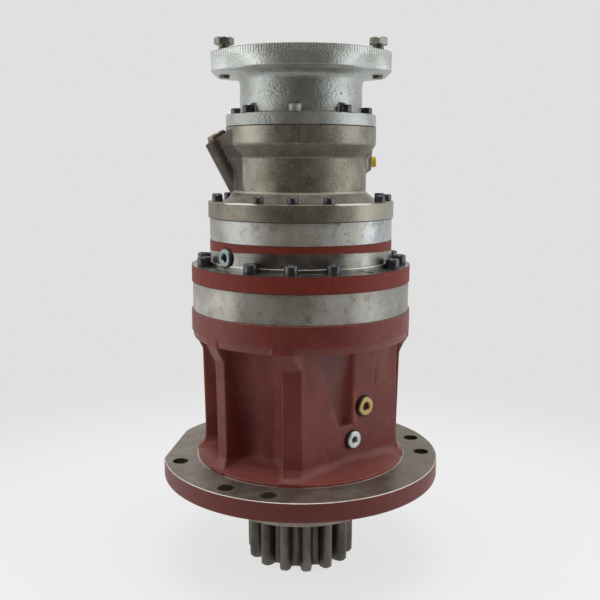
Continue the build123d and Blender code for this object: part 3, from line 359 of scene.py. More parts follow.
def red_primer():
    """Dark red primer sprayed on a sand casting, with painted light on its ledges, deck and pocket faces and
    painted shade in its hollows.
    """
    paint = Finish("red_primer", roughness=0.45, shine=0.26)
    height, radius = paint.coordinate("Z"), paint.radius()
    # Paler tone on the ledge under the band and on the rib shoulders: painted light, as these faces catch the
    # light of the floor and the top lamp.
    ledge = height.between(205.4, 214.6, 0.5) * radius.between(152, 155.0, 0.1)
    shoulder = height.between(184, 205, 1.5) * radius.steps(138, 142)
    # Paler tone on the deck round the foot of the walls: painted light from above, with a little dust.
    deck = height.between(32, 48, 2) * radius.steps(112, 122) * radius.steps(149, 148.4)
    outward, across = paint.seen_from(cheek_angle)
    sunk = cheek_reach - outward
    left = height.between(95, 203, 2) * (across + height * 0.348).steps(6, 8) * sunk.between(0.5, 45, 0.3)
    inner = across + sunk * left_pocket_draft
    # Darker tone on the floor of the left pocket: painted shade, as the ledge above and the strip's wall
    # shade it.
    floor = left * inner.steps(strip_left - 0.5, strip_left - 3)
    # Lighter tone on the pocket's wall beside the strip: painted light, lifting the shade of the deep corner.
    wall = left * inner.steps(strip_left - 3, strip_left - 0.5) * across.steps(12, 8)
    # Paler tone in the right pocket: painted light.
    right = height.steps(143, 147) * sunk.between(0.7, 9, 0.4) * across.between(40, 72, 3)
    # Near-black tone in the bay between the ribs at the far left: a painted shadow.
    bay, beside = paint.seen_from(first_rib - 1.5 * rib_step)
    bay = bay.steps(60, 80) * beside.between(-40, 40, 8) * radius.steps(132, 118)
    colour = paint.coats(
        paint.mix(paint.noise(42, 5).steps(0.3, 0.7), tone(122, 54, 48), tone(136, 66, 59)),
        (paint.noise(2.2, 5), 0.25, 92, 38, 34),
        (paint.noise(11, 5).steps(0.52, 0.72), 0.25, 138, 86, 78),
        # painted light on the ledge and the shoulders
        (ledge, 0.35, 150, 104, 96),
        (shoulder, 0.3, 150, 104, 96),
        # painted shade on the left pocket's floor
        (floor, 0.45, 76, 48, 46),
        # painted light on the pocket wall
        (wall, 0.6, 176, 92, 84),
        # painted light in the right pocket
        (right, 0.3, 176, 128, 120),
        # painted light on the deck
        (deck, 0.35, 160, 104, 98),
        # painted shadow in the bay between the ribs
        (bay, 0.5, 48, 24, 22),
        (paint.edges(0.51, 0.55) * paint.noise(6, 4).steps(0.25, 0.7), 0.6, 170, 112, 102),
        # painted shade in creases and hollows, found by pointiness
        (paint.edges(0.49, 0.45), 0.4, 74, 34, 31),
    )
    paint.bump(paint.noise(1.3, 4), 0.16, 0.8)
    paint.bump(paint.noise(7, 3), 0.6, 0.55)
    return paint.done(colour, paint.noise(12, 4) * 0.3 + 0.3)


rib_angles = [first_rib + rib_step * index for index in range(8)]
beside_ribs = [rib + side * np.r_[3.6:7.2:0.2, 7.5:16:0.6] for rib in rib_angles for side in (-1, 1)]
beside_strip = [
    cheek_angle + math.degrees(math.atan2(sideways, cheek_reach)) + np.arange(-1.2, 1.2, 0.12)
    for sideways in (strip_left, strip_right)
]
casting_angles = angles_with(1.2, *beside_ribs, *beside_strip)
casting_heights = np.r_[
    casting_bottom, 29.5, 30.2:48:0.55, 48.5:90:2.2, 90.5:104:1.0, 106:186:2.6, 187:203:1.3,
    203.5:222:0.6, 226, 232, 238, 241, 242:casting_top:0.33,
]
casting_bore = [(154.6, 243.68), (122, 243.68), (122, 219), (92, 219), (92, 173.5)]
casting_bore += [(82, 173.5), (82, 34), (95, 34), (95, casting_bottom)]
casting = cast("housing_casting", housing_distance, casting_angles, casting_heights, 84, 170, casting_bore)
fit(casting, red_primer(), "housing")

# Mounting flange and pilot spigot
# The casting's foot is turned flat on both faces, with a flange rim that keeps its paint. It has uneven holes
# for the frame bolts, two flats for clearance and a spigot that centres it in the machine's frame.
flange_radius = 200.0
flange_top = 27.5
flange_corner = 3.5
flange_flats = ((-97.0, 189.6), (171.0, 189.6))
flange_hole_angles = (-153.2, -133.2, -73.2, -33.2, -13.2, 86.8, 106.8, 146.8)
flange_hole_circle = 178.5
flange_hole_radius = 11.0
cut_levels = (-5, 35)


def spot(radius, angle, height=0.0):
    """A point at an angle round the axis."""
    turn = math.radians(angle)
    return radius * math.sin(turn), -radius * math.cos(turn), height


def flange_finish():
    """Bare turned iron on top, dimmed by oil, with paint left on the rim, painted shade and painted
    highlights.
    """
    iron = Finish("turned_flange", 0.85, 0.4, shine=0.26)
    radius, height = iron.radius(), iron.coordinate("Z")
    stains = iron.noise(30, 5)
    rings = {"Scale": 1.6, "Detail": 4, "W": radius}
    turning = iron.node("TexNoise", "Fac", rings, noise_dimensions="1D")
    # Darker tone on the right side of the flange top, broken up by the stains: painted shade that dims the
    # floor's reflection.
    painted_right_shade = iron.coordinate("X") + stains * 60
    # Darker tone on the walls of the bolt holes: painted shade inside the holes.
    walls = 0.0
    for angle in flange_hole_angles:
        outward, across = iron.seen_from(angle)
        off = iron.length(outward - flange_hole_circle, across)
        walls = iron.larger(walls, off.steps(flange_hole_radius + 0.4, flange_hole_radius + 0.1))
    rim = radius.steps(198.7, 199.1)
    for angle, reach in flange_flats:
        rim = iron.larger(rim, iron.seen_from(angle)[0].steps(reach - 1.0, reach - 0.5))
    # Near-white on the rim's top edge and on the groove ring at radius 150: bare metal, brightened as a
    # painted highlight.
    ring = radius.steps(152.6, 152.1) * radius.steps(149.0, 149.4)
    bright = iron.larger(height.steps(26.2, 26.9) * rim, ring * 0.9)
    bare = iron.coats(
        iron.mix(stains.steps(0.35, 0.65), tone(124, 115, 102), tone(152, 145, 133)),
        (iron.noise(5, 6).steps(0.45, 0.7), 0.45, 98, 84, 72),
        (turning, 0.3, 176, 170, 160),
        # painted shade on the right side of the top
        (painted_right_shade.steps(112, 140), 0.4, 104, 92, 82),
        # painted shade in the bolt holes
        (walls * height.steps(27.0, 26.6), 0.5, 60, 52, 46),
        # painted highlight on the rim edge and the groove ring
        (bright, 0.75, 232, 222, 214),
    )
    ragged = height + iron.noise(6, 4) * 1.2
    under = height.steps(4.5, 3.0) * radius.steps(186, 192)
    painted = iron.larger(rim * ragged.steps(27.6, 26.8), under * height.steps(-1, 1))
    paint = iron.coats(
        iron.mix(iron.noise(3, 5) * 0.3, tone(118, 58, 52), tone(88, 40, 36)),
        (iron.noise(4, 5).steps(0.66, 0.74), 0.5, 150, 104, 96),
    )
    iron.bump(turning, 0.05, 0.6)
    iron.bump(iron.noise(1.8, 4), 0.06, 0.5)
    return iron.done(iron.mix(painted, bare, paint), stains * 0.25 + 0.32, (1.0 - painted) * 0.85)


flange_outline = [(95, -32), (106, -32), (106, -39), (123.8, -39), (125, -37.8), (125, 0), (126, 0.01)]
for turn in np.radians(np.linspace(-90, 0, 6)):
    corner = flange_radius - flange_corner + flange_corner * math.cos(turn)
    flange_outline.append((corner, flange_corner + flange_corner * math.sin(turn)))
flange_outline += [(flange_radius, 26.7), (199.2, flange_top), (151.4, flange_top), (151.0, 26.6)]
flange_outline += [(149.7, 26.6), (149.7, 27.3), (95, 27.3)]
flange = skin("housing_flange", turned_rings(flange_outline, even_angles(300)))
cutters = []
for angle in flange_hole_angles:
    drilled = turned_rings([(flange_hole_radius, level) for level in cut_levels], even_angles(40))
    cutters.append(skin("drill", [ring + spot(flange_hole_circle, angle) for ring in drilled], closed=False))
for angle, reach in flange_flats:
    outward, across = np.array(spot(1, angle)), np.array(spot(1, angle + 90))
    sides = ((reach, -90), (reach, 90), (260, 90), (260, -90))
    slab = np.array([outward * out + across * side for out, side in sides])
    cutters.append(skin("milling", [slab + (0, 0, level) for level in cut_levels], closed=False))
for cutter in cutters:
    cut = flange.modifiers.new("cut", "BOOLEAN")
    cut.operation = "DIFFERENCE"
    cut.solver = "EXACT"
    cut.object = cutter
carved = flange.evaluated_get(bpy.context.evaluated_depsgraph_get())
flange.data = bpy.data.meshes.new_from_object(carved)
flange.modifiers.clear()
for cutter in cutters:
    bpy.data.objects.remove(cutter)
round_edges(flange, 0.7, 40)
flange.data.materials.clear()
flange.data.shade_smooth()
fit(flange, flange_finish(), "housing")

# Output shaft
# A hardened alloy steel shaft with the pinion cut on its end. The teeth are hobbed, ground and crowned, and a
# film of old oil makes them dark.
pinion_teeth = 14
pinion_module = 10.0
pinion_bottom = -130.0
pinion_top = -42.0
pinion_root = 57.5
pinion_tooth_angle = 7.5
pressure_angle = math.radians(20)


def pinion_ring(height, tip, ease):
    """One slice of the pinion: involute flanks between the root and a tip radius, thinned by ease."""
    pitch = pinion_module * pinion_teeth / 2
    base = pitch * math.cos(pressure_angle)
    foot = pinion_root + 2.5
    gap = math.pi / pinion_teeth
    points = []
    for tooth in range(pinion_teeth):
        middle = math.radians(pinion_tooth_angle + 360 / pinion_teeth * tooth)
        half_tooth = []
        for share in np.linspace(0, 1, 9):
            radius = foot + (tip - foot) * share
            lean = math.acos(base / max(radius, base))
            half = math.pi / 2 / pinion_teeth + math.tan(pressure_angle) - pressure_angle
            half -= math.tan(lean) - lean + ease / pitch
            radius -= 1.6 * max(share - 0.72, 0) ** 2 * 12
            half_tooth.append((radius, half - 0.011 * max(share - 0.8, 0) * 8))
        root_points = [(pinion_root, gap), (pinion_root, gap * 0.9), (pinion_root + 0.5, gap * 0.8)]
        low = [(radius, -half) for radius, half in root_points + half_tooth]
        high = half_tooth[::-1] + root_points[:0:-1]
        points += [(r * math.sin(middle + t), -r * math.cos(middle + t), height) for r, t in low + high]
    return np.array(points)


def gear_steel():
    """Hardened steel under a film of dried oil, brighter where the flanks were rubbed."""
    steel = Finish("pinion_steel", 0.9, 0.34)
    oil = steel.noise(16, 5, (1, 1, 0.35))
    colour = steel.coats(
        steel.mix(oil.steps(0.3, 0.7), tone(78, 72, 66), tone(116, 110, 103)),
        (steel.noise(3, 5).steps(0.5, 0.7), 0.4, 60, 50, 44),
        (steel.edges(0.52, 0.6), 0.5, 170, 166, 160),
    )
    steel.bump(steel.noise(1.2, 3, (1, 1, 0.15)), 0.03, 0.5)
    return steel.done(colour, oil * 0.3 + 0.34)


slices = [(pinion_bottom, 76.5, 0.9), (pinion_bottom + 3.2, 79.6, 0.15), (-110, 80, 0.0), (-86, 80, -0.1)]
slices += [(-62, 80, 0.0), (pinion_top - 3.2, 79.6, 0.15), (pinion_top, 76.5, 0.9)]
shaft_outline = [(8, -129), (55, -129), (57, -128), (57, -42), (62, -41.5), (62, -22), (55, -22)]
shaft_outline += [(55, 34), (50, 34), (50, 128), (47.5, 128), (47.5, 187.5), (44, 187.5), (44, 235)]
shaft_outline += [(43, 236), (8, 236)]
pinion = skin("pinion_teeth", [pinion_ring(*one) for one in slices], closed=False)
shaft = skin("output_shaft_turned", turned_rings(shaft_outline, even_angles(96)), closed=False)
pinion_steel = gear_steel()
for piece in (pinion, shaft):
    round_edges(piece, 0.5, 35)
    fit(piece, pinion_steel, "output_shaft", body="output")

# Bearings, seal and seal plate
# Two taper roller bearings carry the shaft, a nut draws them up, and a plate with countersunk screws holds
# the lip seal at the bottom. Ground bearing steel is bright and the seal is black rubber.


def plain_metal(name, screen, roughness=0.35, metallic=0.9, grain=2.0):
    """A clean machined surface with faint grain and slightly rounded edges."""
    colour = tone(*screen)
    metal = Finish(name, metallic, roughness)
    metal.soft_edges(0.5)
    metal.bump(metal.noise(grain, 4), 0.03, 0.5)
    shade = tuple(c * 0.72 for c in colour[:3]) + (1,)
    blotches = metal.noise(grain * 6, 4).steps(0.35, 0.7)
    return metal.done(metal.mix(blotches, shade, colour), blotches * 0.12 + (roughness - 0.06))


def dress(material, *names):
    """Gives CAD nodes a finish in place of their plain colour."""
    for name in names:
        nodes[name].data.materials.clear()
        nodes[name].data.materials.append(material)


bearing_steel = plain_metal("bearing_steel", (200, 200, 198), 0.25)
turned_steel = plain_metal("turned_steel", (158, 156, 150), 0.38)
zinc = plain_metal("zinc_plate", (206, 212, 212), 0.42)
dress(bearing_steel, "lower_bearing_cup", "lower_bearing_cone", "upper_bearing_cup", "upper_bearing_cone")
dress(turned_steel, "seal_plate", "bearing_nut")
dress(plain_metal("black_rubber", (38, 38, 38), 0.6, 0.0, 3.0), "shaft_seal", "plug_washers")
dress(zinc, "seal_plate_screws")

# Output stage inside the housing
# Carrier, pins, bushes, planets and the sun shaft. All of it is closed in, and only its finish matters.
planet_steel = plain_metal("planet_steel", (150, 148, 142), 0.3)
ductile_iron = plain_metal("ductile_iron", (128, 126, 122), 0.5, 0.7)
bronze = plain_metal("bush_bronze", (206, 160, 96), 0.32)
dress(planet_steel, "output_sun")
for stage in ("output", "input"):
    dress(ductile_iron, f"{stage}_carrier")
    dress(bearing_steel, f"{stage}_pins")
    for number in (1, 2, 3):
        dress(planet_steel, f"{stage}_planet_{number}")
        dress(bronze, f"{stage}_bush_{number}")

# Ring gears
# Two bare steel rings clamped between the castings. Their outsides are turned and left unpainted, with water
# marks, smudges of preservative and a few pits.


def ring_gear_steel(name, bottom, top, oily_from, oily_to, pits=()):
    """Pale turned steel with stains and dark joints, with a painted reflection and painted shade on its
    sides. Pits are (angle, height, size, depth) in the skin.
    """
    steel = Finish(name, 0.4, 0.55)
    steel.soft_edges(0.6)
    height, side = steel.coordinate("Z"), steel.coordinate("X")
    wash = steel.noise(50, 6)
    # Near-white, bluish tone on the sides of the input ring, strongest at the right: a painted reflection of
    # the side lamps.
    painted_reflection = steel.larger(side.steps(66, 96), side.between(-98, -60, 12) * 0.4)
    painted_reflection = steel.larger(painted_reflection, side.between(36, 70, 12) * 0.3)
    # Darker tone on the output ring's right edge and on its left: painted shade that dims the reflections of
    # the side lamps.
    dull = steel.larger(side.steps(84, 112), side.between(-86, -66, 8) * 0.7)
    oily = (side + steel.noise(14, 6) * 60).between(oily_from + 30, oily_to + 30, 6)
    ends = steel.larger(height.steps(bottom + 0.9, bottom + 0.3), height.steps(top - 0.9, top - 0.3))
    colour = steel.coats(
        steel.mix(wash.steps(0.35, 0.65), tone(164, 161, 151), tone(196, 194, 187)),
        # painted reflection on the input ring
        (painted_reflection * height.steps(340, 342), 0.7, 238, 244, 250),
        # painted shade on the output ring's sides
        (dull * height.steps(290, 288), 0.45, 112, 110, 106),
        (steel.noise(17, 7, roughness=0.68).steps(0.52, 0.66), 0.5, 124, 113, 102),
        (steel.noise(2.6, 6).steps(0.55, 0.7), 0.45, 126, 119, 110),
        (oily, 0.45, 112, 107, 98),
        (ends, 0.8, 40, 36, 34),
    )
    for angle, level, size, depth in pits:
        away = steel.length(steel.seen_from(angle)[1], height - level) + steel.noise(2, 3) * (size * 0.8)
        colour = steel.coats(colour, (away.steps(size * 1.5, size * 0.9), depth, 46, 42, 38))
    steel.bump(steel.noise(1.4, 4, (1, 1, 3)), 0.03, 0.6)
    return steel.done(colour, wash * 0.25 + 0.36)


output_ring = {"bottom": 243.7, "top": 284.2, "oily_from": -76, "oily_to": 9}
input_ring = {"bottom": 341.9, "top": 372.2, "oily_from": 96, "oily_to": 140}
input_pits = ((26.2, 357.5, 1.2, 0.9), (55.0, 357.3, 1.1, 0.8), (21.5, 371.5, 5.5, 0.45))
dress(ring_gear_steel("output_ring_steel", **output_ring), "output_ring_gear")
dress(ring_gear_steel("input_ring_steel", **input_ring, pits=input_pits), "input_ring_gear")

# Stage cover
# A turned iron cover between the ring gears. Its rim and the top of its neck are painted red, and the
# machined step and neck between them are bare, dark and oily.


def cover_finish():
    """Red rim, bare turned neck and a red band whose lower edge was masked by hand. The neck's left carries
    painted shade and its step a painted highlight.
    """
    cover = Finish("stage_cover_finish", 0.9, 0.3, shine=0.16)
    cover.soft_edges(0.8)
    radius, height = cover.radius(), cover.coordinate("Z")
    oil = cover.noise(24, 5)
    # Darker tone on the left of the bare neck, broken up by noise: painted shade that dims the left lamp's
    # reflection.
    painted_neck_shade = (cover.coordinate("X") + cover.noise(18, 5) * 30).between(-70, -12, 9)
    # Near-white line on the machined step: a painted highlight.
    step = height.between(311.8, 313.0, 0.2) * radius.steps(130.0, 130.4)
    bare = cover.coats(
        cover.mix(oil.steps(0.3, 0.7), tone(124, 122, 115), tone(158, 158, 153)),
        (cover.noise(1.6, 5, (0.04, 0.04, 1)).steps(0.45, 0.7), 0.3, 84, 78, 72),
        (cover.noise(2.2, 5).steps(0.55, 0.8), 0.25, 58, 50, 45),
        # painted shade on the neck's left
        (painted_neck_shade * height.steps(313, 316), 0.5, 70, 66, 62),
        # painted highlight on the step
        (step, 0.8, 240, 236, 230),
    )
    ragged = height + cover.noise(8, 4) * 3.0 + (cover.coordinate("Y") + 128.7) * 0.05
    rim = radius.steps(153.6, 154.6) * height.steps(307.2, 306.8)
    painted = cover.larger(ragged.steps(333.6, 334.3), rim)
    paint = cover.coats(
        cover.mix(cover.noise(3, 5) * 0.3, tone(136, 58, 48), tone(100, 38, 31)),
        (cover.noise(5, 5).steps(0.56, 0.68), 0.3, 166, 96, 84),
    )
    cover.bump(cover.noise(1.5, 4), 0.05, 0.5)
    cover.bump(cover.noise(2.6, 5, (1, 1, 1.6)) * painted, 0.35, 0.6)
    joints = cover.larger(height.steps(341.2, 341.7), height.steps(284.9, 284.4))
    joints = cover.larger(joints, height.steps(306.0, 306.4) * rim)
    colour = cover.coats(cover.mix(painted, bare, paint), (joints, 0.6, 44, 26, 24))
    return cover.done(colour, oil * 0.16 + 0.22 + painted * 0.24, (1.0 - painted) * 0.9)


dress(cover_finish(), "stage_cover")

# Cap screws of the stage cover
# Twelve M12 socket head cap screws in black oxide. Their heads are knurled and chamfered, and each hexagon
# socket stopped at its own angle when it was tightened.
screw_angles = [-5 + 22.5 * k for k in range(16) if k % 4 != 2]
cover_step = 306.6


def hexagon(apothem, angles):
    """Radius of a hexagon at each angle."""
    return apothem / np.cos(np.radians((np.asarray(angles) + 30) % 60 - 30))


def cap_screw_rings(head, height, key, shank, length):
    """A knurled socket head with its shank, standing on height 0. Head and shank are radii."""
    angles = even_angles(72)
    knurl = head - 0.02 * head * (np.arange(72) % 2)
    socket = hexagon(key / 2, angles)
    outline = [(0.3, -length), (shank - 1, -length), (shank, -length + 1), (shank, -0.2), (head * 0.96, 0)]
    outline += [(knurl, 0.5), (knurl, height * 0.86), (head * 0.96, height * 0.9), (head * 0.86, height)]
    outline += [(key / 2 * 1.24, height), (socket * 1.02, height - key * 0.08)]
    outline += [(socket, height - key * 0.16), (socket, height * 0.42), (0.3, height * 0.34)]
    return turned_rings(outline, angles)


def standing(node, rings, places, seed, material, sharp):
    """Like screws that stand upright in one piece, each turned by a random amount."""
    chance = np.random.default_rng(seed)
    copies = []
    for place in places:
        turn = chance.uniform(0, math.pi / 3)
        along, across = math.cos(turn), math.sin(turn)
        copies.append((((along, -across, 0), (across, along, 0), (0, 0, 1)), place))
    piece = skin(node + "_detailed", rings, closed=False, copies=copies)
    fit(piece, material, node, sharp)
    return piece


def black_oxide():
    """Black oxide over steel: bluish, with brown dust in places and worn bright edges."""
    black = Finish("black_oxide", 0.8, 0.36)
    dust = black.noise(9, 5)
    colour = black.mix(dust.steps(0.4, 0.7), tone(70, 73, 80), tone(100, 97, 96))
    colour = black.coats(colour, (black.edges(0.53, 0.62), 0.5, 160, 162, 168))
    black.bump(black.noise(0.8, 3), 0.02, 0.5)
    return black.done(colour, dust * 0.3 + 0.2)


oxide = black_oxide()


def cap_screws(node, circle, level, angles, seed, **sizes):
    """Black cap screws at angles on a circle."""
    places = [spot(circle, angle, level) for angle in angles]
    return standing(node, cap_screw_rings(**sizes), places, seed, oxide, 38)


cover_screw = {"head": 9.3, "height": 13.0, "key": 10.0, "shank": 6.0, "length": 85.0}
cap_screws("stage_cover_screws", 140.0, cover_step, screw_angles, 3, **cover_screw)

# Brake housing
# A grey iron casting over the brake discs: a turned flange, a fillet into a plain wall, a cone and a band
# that carries the motor adapter. A slanted boss takes the oil port, and a small one the brake release line.
brake_bottom = 372.2
brake_flange_top = 395.0
brake_flange_radius = 130.5
brake_top = 496.0
brake_wall_heights = [395, 404.6, 407, 409.5, 453.2, 455, 471.5, 473.5, 496]
brake_wall_radii = [107.4, 95.4, 92.4, 91.5, 91.5, 92.4, 103.8, 104.5, 104.5]
port_tilt = math.radians(27.5)
port_centre = (-115.9, 480.7)
port_radius = 20.35
web_half = 48.0
release_height = 449.0
release_radius = 13.0
release_reach = 98.5


def brake_distance(x, y, z):
    """Roughly how far points lie outside the brake housing casting."""
    radius = np.hypot(x, y)
    body = (radius - np.interp(z, brake_wall_heights, brake_wall_radii)) * 0.9
    across = (x - port_centre[0]) * math.cos(port_tilt) + (z - port_centre[1]) * math.sin(port_tilt)
    along = -(x - port_centre[0]) * math.sin(port_tilt) + (z - port_centre[1]) * math.cos(port_tilt)
    boss = smooth_cut(np.hypot(across, y) - port_radius, along, 1.2)
    boss = np.maximum(boss, x + 60)
    axis = port_centre[0] + (port_centre[1] - z) * math.tan(port_tilt)
    reach = np.maximum(np.interp(z, [455, 472], [-78.5, -91.0]) - axis, 4.0)
    half = port_radius + (web_half - port_radius) * np.clip((x - axis) / reach, 0, 1)
    slant = (np.abs(y) - half) / np.hypot(1, (web_half - port_radius) / reach)
    web = smooth_cut(slant, np.maximum(-across, along), 1.2)
    boss = smooth_join(boss, np.maximum(web, x + 60), 1)
    body = smooth_join(body, boss, 5)
    release = smooth_cut(np.hypot(y, z - release_height) - release_radius, x - release_reach, 1.5)
    body = smooth_join(body, np.maximum(release, 60 - x), 7)
    flange = smooth_cut(radius - brake_flange_radius, z - brake_flange_top, 1.2)
    body = smooth_join(body, flange, 1.5)
    return smooth_cut(smooth_cut(body, z - brake_top, 1.2), brake_bottom - z, 1.4)


def dark_casting():
    """Bare grey iron with a bronze tinge: sand grain, dark pores, a machined flange top, painted shade and
    painted highlights.
    """
    iron = Finish("dark_casting", 0.62, 0.46)
    side, height, radius = iron.coordinate("X"), iron.coordinate("Z"), iron.radius()
    clouds = iron.noise(26, 5)
    speckle = iron.noise(1.7, 6)
    # Darker tone on the port boss and its web: painted shade, as they face the dark front under the band.
    web_edge = height.steps(455, 472) * 12.5 + 78.5
    shaded = (side + web_edge).steps(1.0, -1.5) * height.between(409, 492, 2)
    rim = radius.steps(108, 112) * height.steps(394.4, 393.8)
    # Pale line along the fillet at the wall's foot: a painted highlight.
    foot = height.between(406.4, 409.4, 0.5) * radius.steps(95, 93.5)
    top = height.between(394.7, 395.4, 0.2) * radius.between(110.5, 129.4, 0.6)
    lit_edge = height.between(393.7, 395.4, 0.3) * radius.between(110.5, 131.5, 0.6)
    # Near-white crescents on the flange top at two angles: painted highlights, as a turned face shows the
    # side lamps.
    bright = 0.0
    for angle in (-38.0, 33.0):
        crescent = iron.math("DIVIDE", iron.seen_from(angle)[0], radius).steps(0.974, 0.986)
        bright = iron.larger(bright, lit_edge * crescent)
    # Paler tone on the band's left and the flange's right edge: painted light.
    pale = height.steps(473, 475) * side.between(-84, -44, 12)
    pale = iron.larger(pale, side.steps(62, 84) * height.steps(395, 393))
    # Darker tone on the cone: painted shade.
    cone = height.between(455.5, 471, 1) * radius.steps(91, 92)
    joints = iron.larger(height.steps(373.3, 372.7), height.steps(494.9, 495.4))
    colour = iron.coats(
        iron.mix(clouds.steps(0.3, 0.7), tone(122, 115, 102), tone(154, 149, 136)),
        (speckle.steps(0.5, 0.7), 0.6, 74, 64, 55),
        (speckle.steps(0.44, 0.3), 0.6, 200, 194, 178),
        (iron.edges(0.52, 0.58), 0.45, 190, 184, 170),
        (iron.cells(5.5).steps(0.12, 0.05), 0.4, 50, 42, 38),
        # painted shade on the port boss and web
        (shaded, 0.78, 54, 45, 40),
        (rim, 0.3, 96, 92, 80),
        # painted highlight at the wall's foot
        (foot, 0.45, 206, 198, 182),
        (top, 0.5, 190, 186, 178),
        # painted highlights on the flange top
        (bright, 1, 255, 254, 250),
        # painted light on the band's left and the flange's right edge
        (pale, 0.35, 206, 200, 186),
        # painted shade on the cone
        (cone, 0.5, 66, 58, 50),
        (joints, 0.75, 38, 33, 30),
    )
    iron.bump(iron.noise(1.6, 5), 0.2, 0.6)
    iron.bump(iron.noise(6, 3), 0.4, 0.3)
    return iron.done(colour, clouds * 0.2 + 0.34, (1.0 - bright) * 0.62)


brake_angles = angles_with(1.5, np.r_[236:304:0.5, 78:102:0.6])
brake_heights = np.r_[
    372.2:374:0.4, 378, 386, 392, 393.2, 393.8, 394.2, 394.5, 394.75, 394.93, 394.98, 395.03, 395.4, 396.2,
    398, 401, 403.5, 404.3, 404.9:411:0.5, 413:452:2.5, 452.4:456:0.4, 457:471:1.4, 471.2:474.4:0.4,
    475:494:1.2, 494.6:496:0.3,
]
brake_bore = [(103, 495.9), (81, 495.9), (81, 446), (77, 446), (77, 396), (45, 396), (45, 386)]
brake_bore += [(98, 386), (98, 372.25)]
brake = cast("brake_housing_casting", brake_distance, brake_angles, brake_heights, 84, 150, brake_bore)
fit(brake, dark_casting(), "brake_housing", 24)

# Cap screws of the brake housing
# Twelve M8 socket head cap screws, in the same places round the axis as the larger ones below.
brake_screw = {"head": 7.2, "height": 9.4, "key": 6.0, "shank": 4.0, "length": 70.0}
cap_screws("brake_housing_screws", 120.0, brake_flange_top, screw_angles, 5, **brake_screw)

# Parking brake
# Steel discs and sintered discs lie in turn in the housing, under a piston that two disc springs press down.
# The springs are coned from hardened strip, and they flatten by the 2 mm that the piston rises on release.
spring_steel = plain_metal("spring_steel", (120, 122, 128), 0.3)
dress(plain_metal("disc_steel", (140, 140, 138), 0.4), "brake_steel_discs")
dress(plain_metal("friction_lining", (126, 98, 66), 0.7, 0.3), "brake_friction_discs")
dress(turned_steel, "brake_piston")
dress(spring_steel, "bearing_snap_ring")
spring_outer = 78
spring_inner = 54
spring_thickness = 3
spring_room = 14.0
piston_top = brake_top - spring_room
springs_meet = (piston_top + brake_top) / 2
for level, node, edge in (
    (piston_top, "lower_disc_spring", spring_thickness),
    (brake_top, "upper_disc_spring", -spring_thickness),
):
    corners = [(spring_outer, level), (spring_outer, level + edge)]
    corners += [(spring_inner, springs_meet), (spring_inner, springs_meet - edge)]
    spring = skin(node + "_formed", turned_rings(corners, even_angles(96)))
    fit(spring, spring_steel, node, 30)
    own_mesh(spring)

# Input shaft and its bearing
# The sun gear, the brake hub and the socket for the motor's shaft are one hardened piece in a ball bearing.
dress(planet_steel, "input_shaft")
dress(bearing_steel, "input_bearing_outer_ring", "input_bearing_inner_ring")

# Motor adapter
# A cast neck between the brake housing and the motor, with a round foot and a two-eared top flange. It has a
# pale grey green skin, rough from the mould, with the mould's parting line round its neck.
adapter_foot_radius = 104.3
adapter_foot_top = 512.5
neck_radius = 84.5
ear_bottom = 566.5
ear_reach = 120.6
adapter_top = 592.0
parting_height = 537.0
screw_circle = 90.5
adapter_screw_angles = [-5 + 45 * k for k in range(8)]


def adapter_distance(x, y, z):
    """Roughly how far points lie outside the motor adapter casting."""
    radius = np.hypot(x, y)
    seam = parting_height + 0.8 * np.sin(x * 0.55) * np.sin(x * 0.21 + 1)
    uneven = 0.8 + np.maximum(np.sin(x * 1.1) + np.sin(x * 0.47 + 2), -0.8)
    ripple = 0.4 * np.exp(-(((z - seam) / 1.1) ** 2)) * uneven
    body = radius - neck_radius - ripple * np.clip(np.abs(x) / 34, 0.2, 1)
    turn = np.degrees(np.arctan2(np.abs(x), np.abs(y)))
    share = np.clip((turn - 10) / 50, 0, 1)
    upper = 138 - 8 * share * share * (3 - 2 * share)
    lower = upper - 11 * np.exp(-(((turn - 42) / 13) ** 2))
    share = np.clip((z - ear_bottom) / 17, 0, 1)
    plate = smooth_cut(radius - lower - (upper - lower) * share, np.abs(x) - ear_reach, 5)
    plate = smooth_cut(plate, np.maximum(ear_bottom - z, z - adapter_top), 1.6)
    body = smooth_join(body, plate, 17)
    foot = smooth_cut(radius - adapter_foot_radius, z - adapter_foot_top, 1.6)
    body = smooth_join(body, foot, 5)
    for angle in adapter_screw_angles:
        outward, sideways = seen_from(x, y, angle)
        pocket = np.hypot(outward - screw_circle, sideways) - 10.2
        pocket = smooth_cut(pocket, adapter_foot_top - 0.2 - z, 1)
        pocket = smooth_cut(pocket, z - adapter_foot_top - 14 + 0.3 * (screw_circle - outward), 3)
        body = smooth_cut(body, -np.maximum(pocket, -outward), 2)
    return smooth_cut(body, brake_top - z, 1.0)


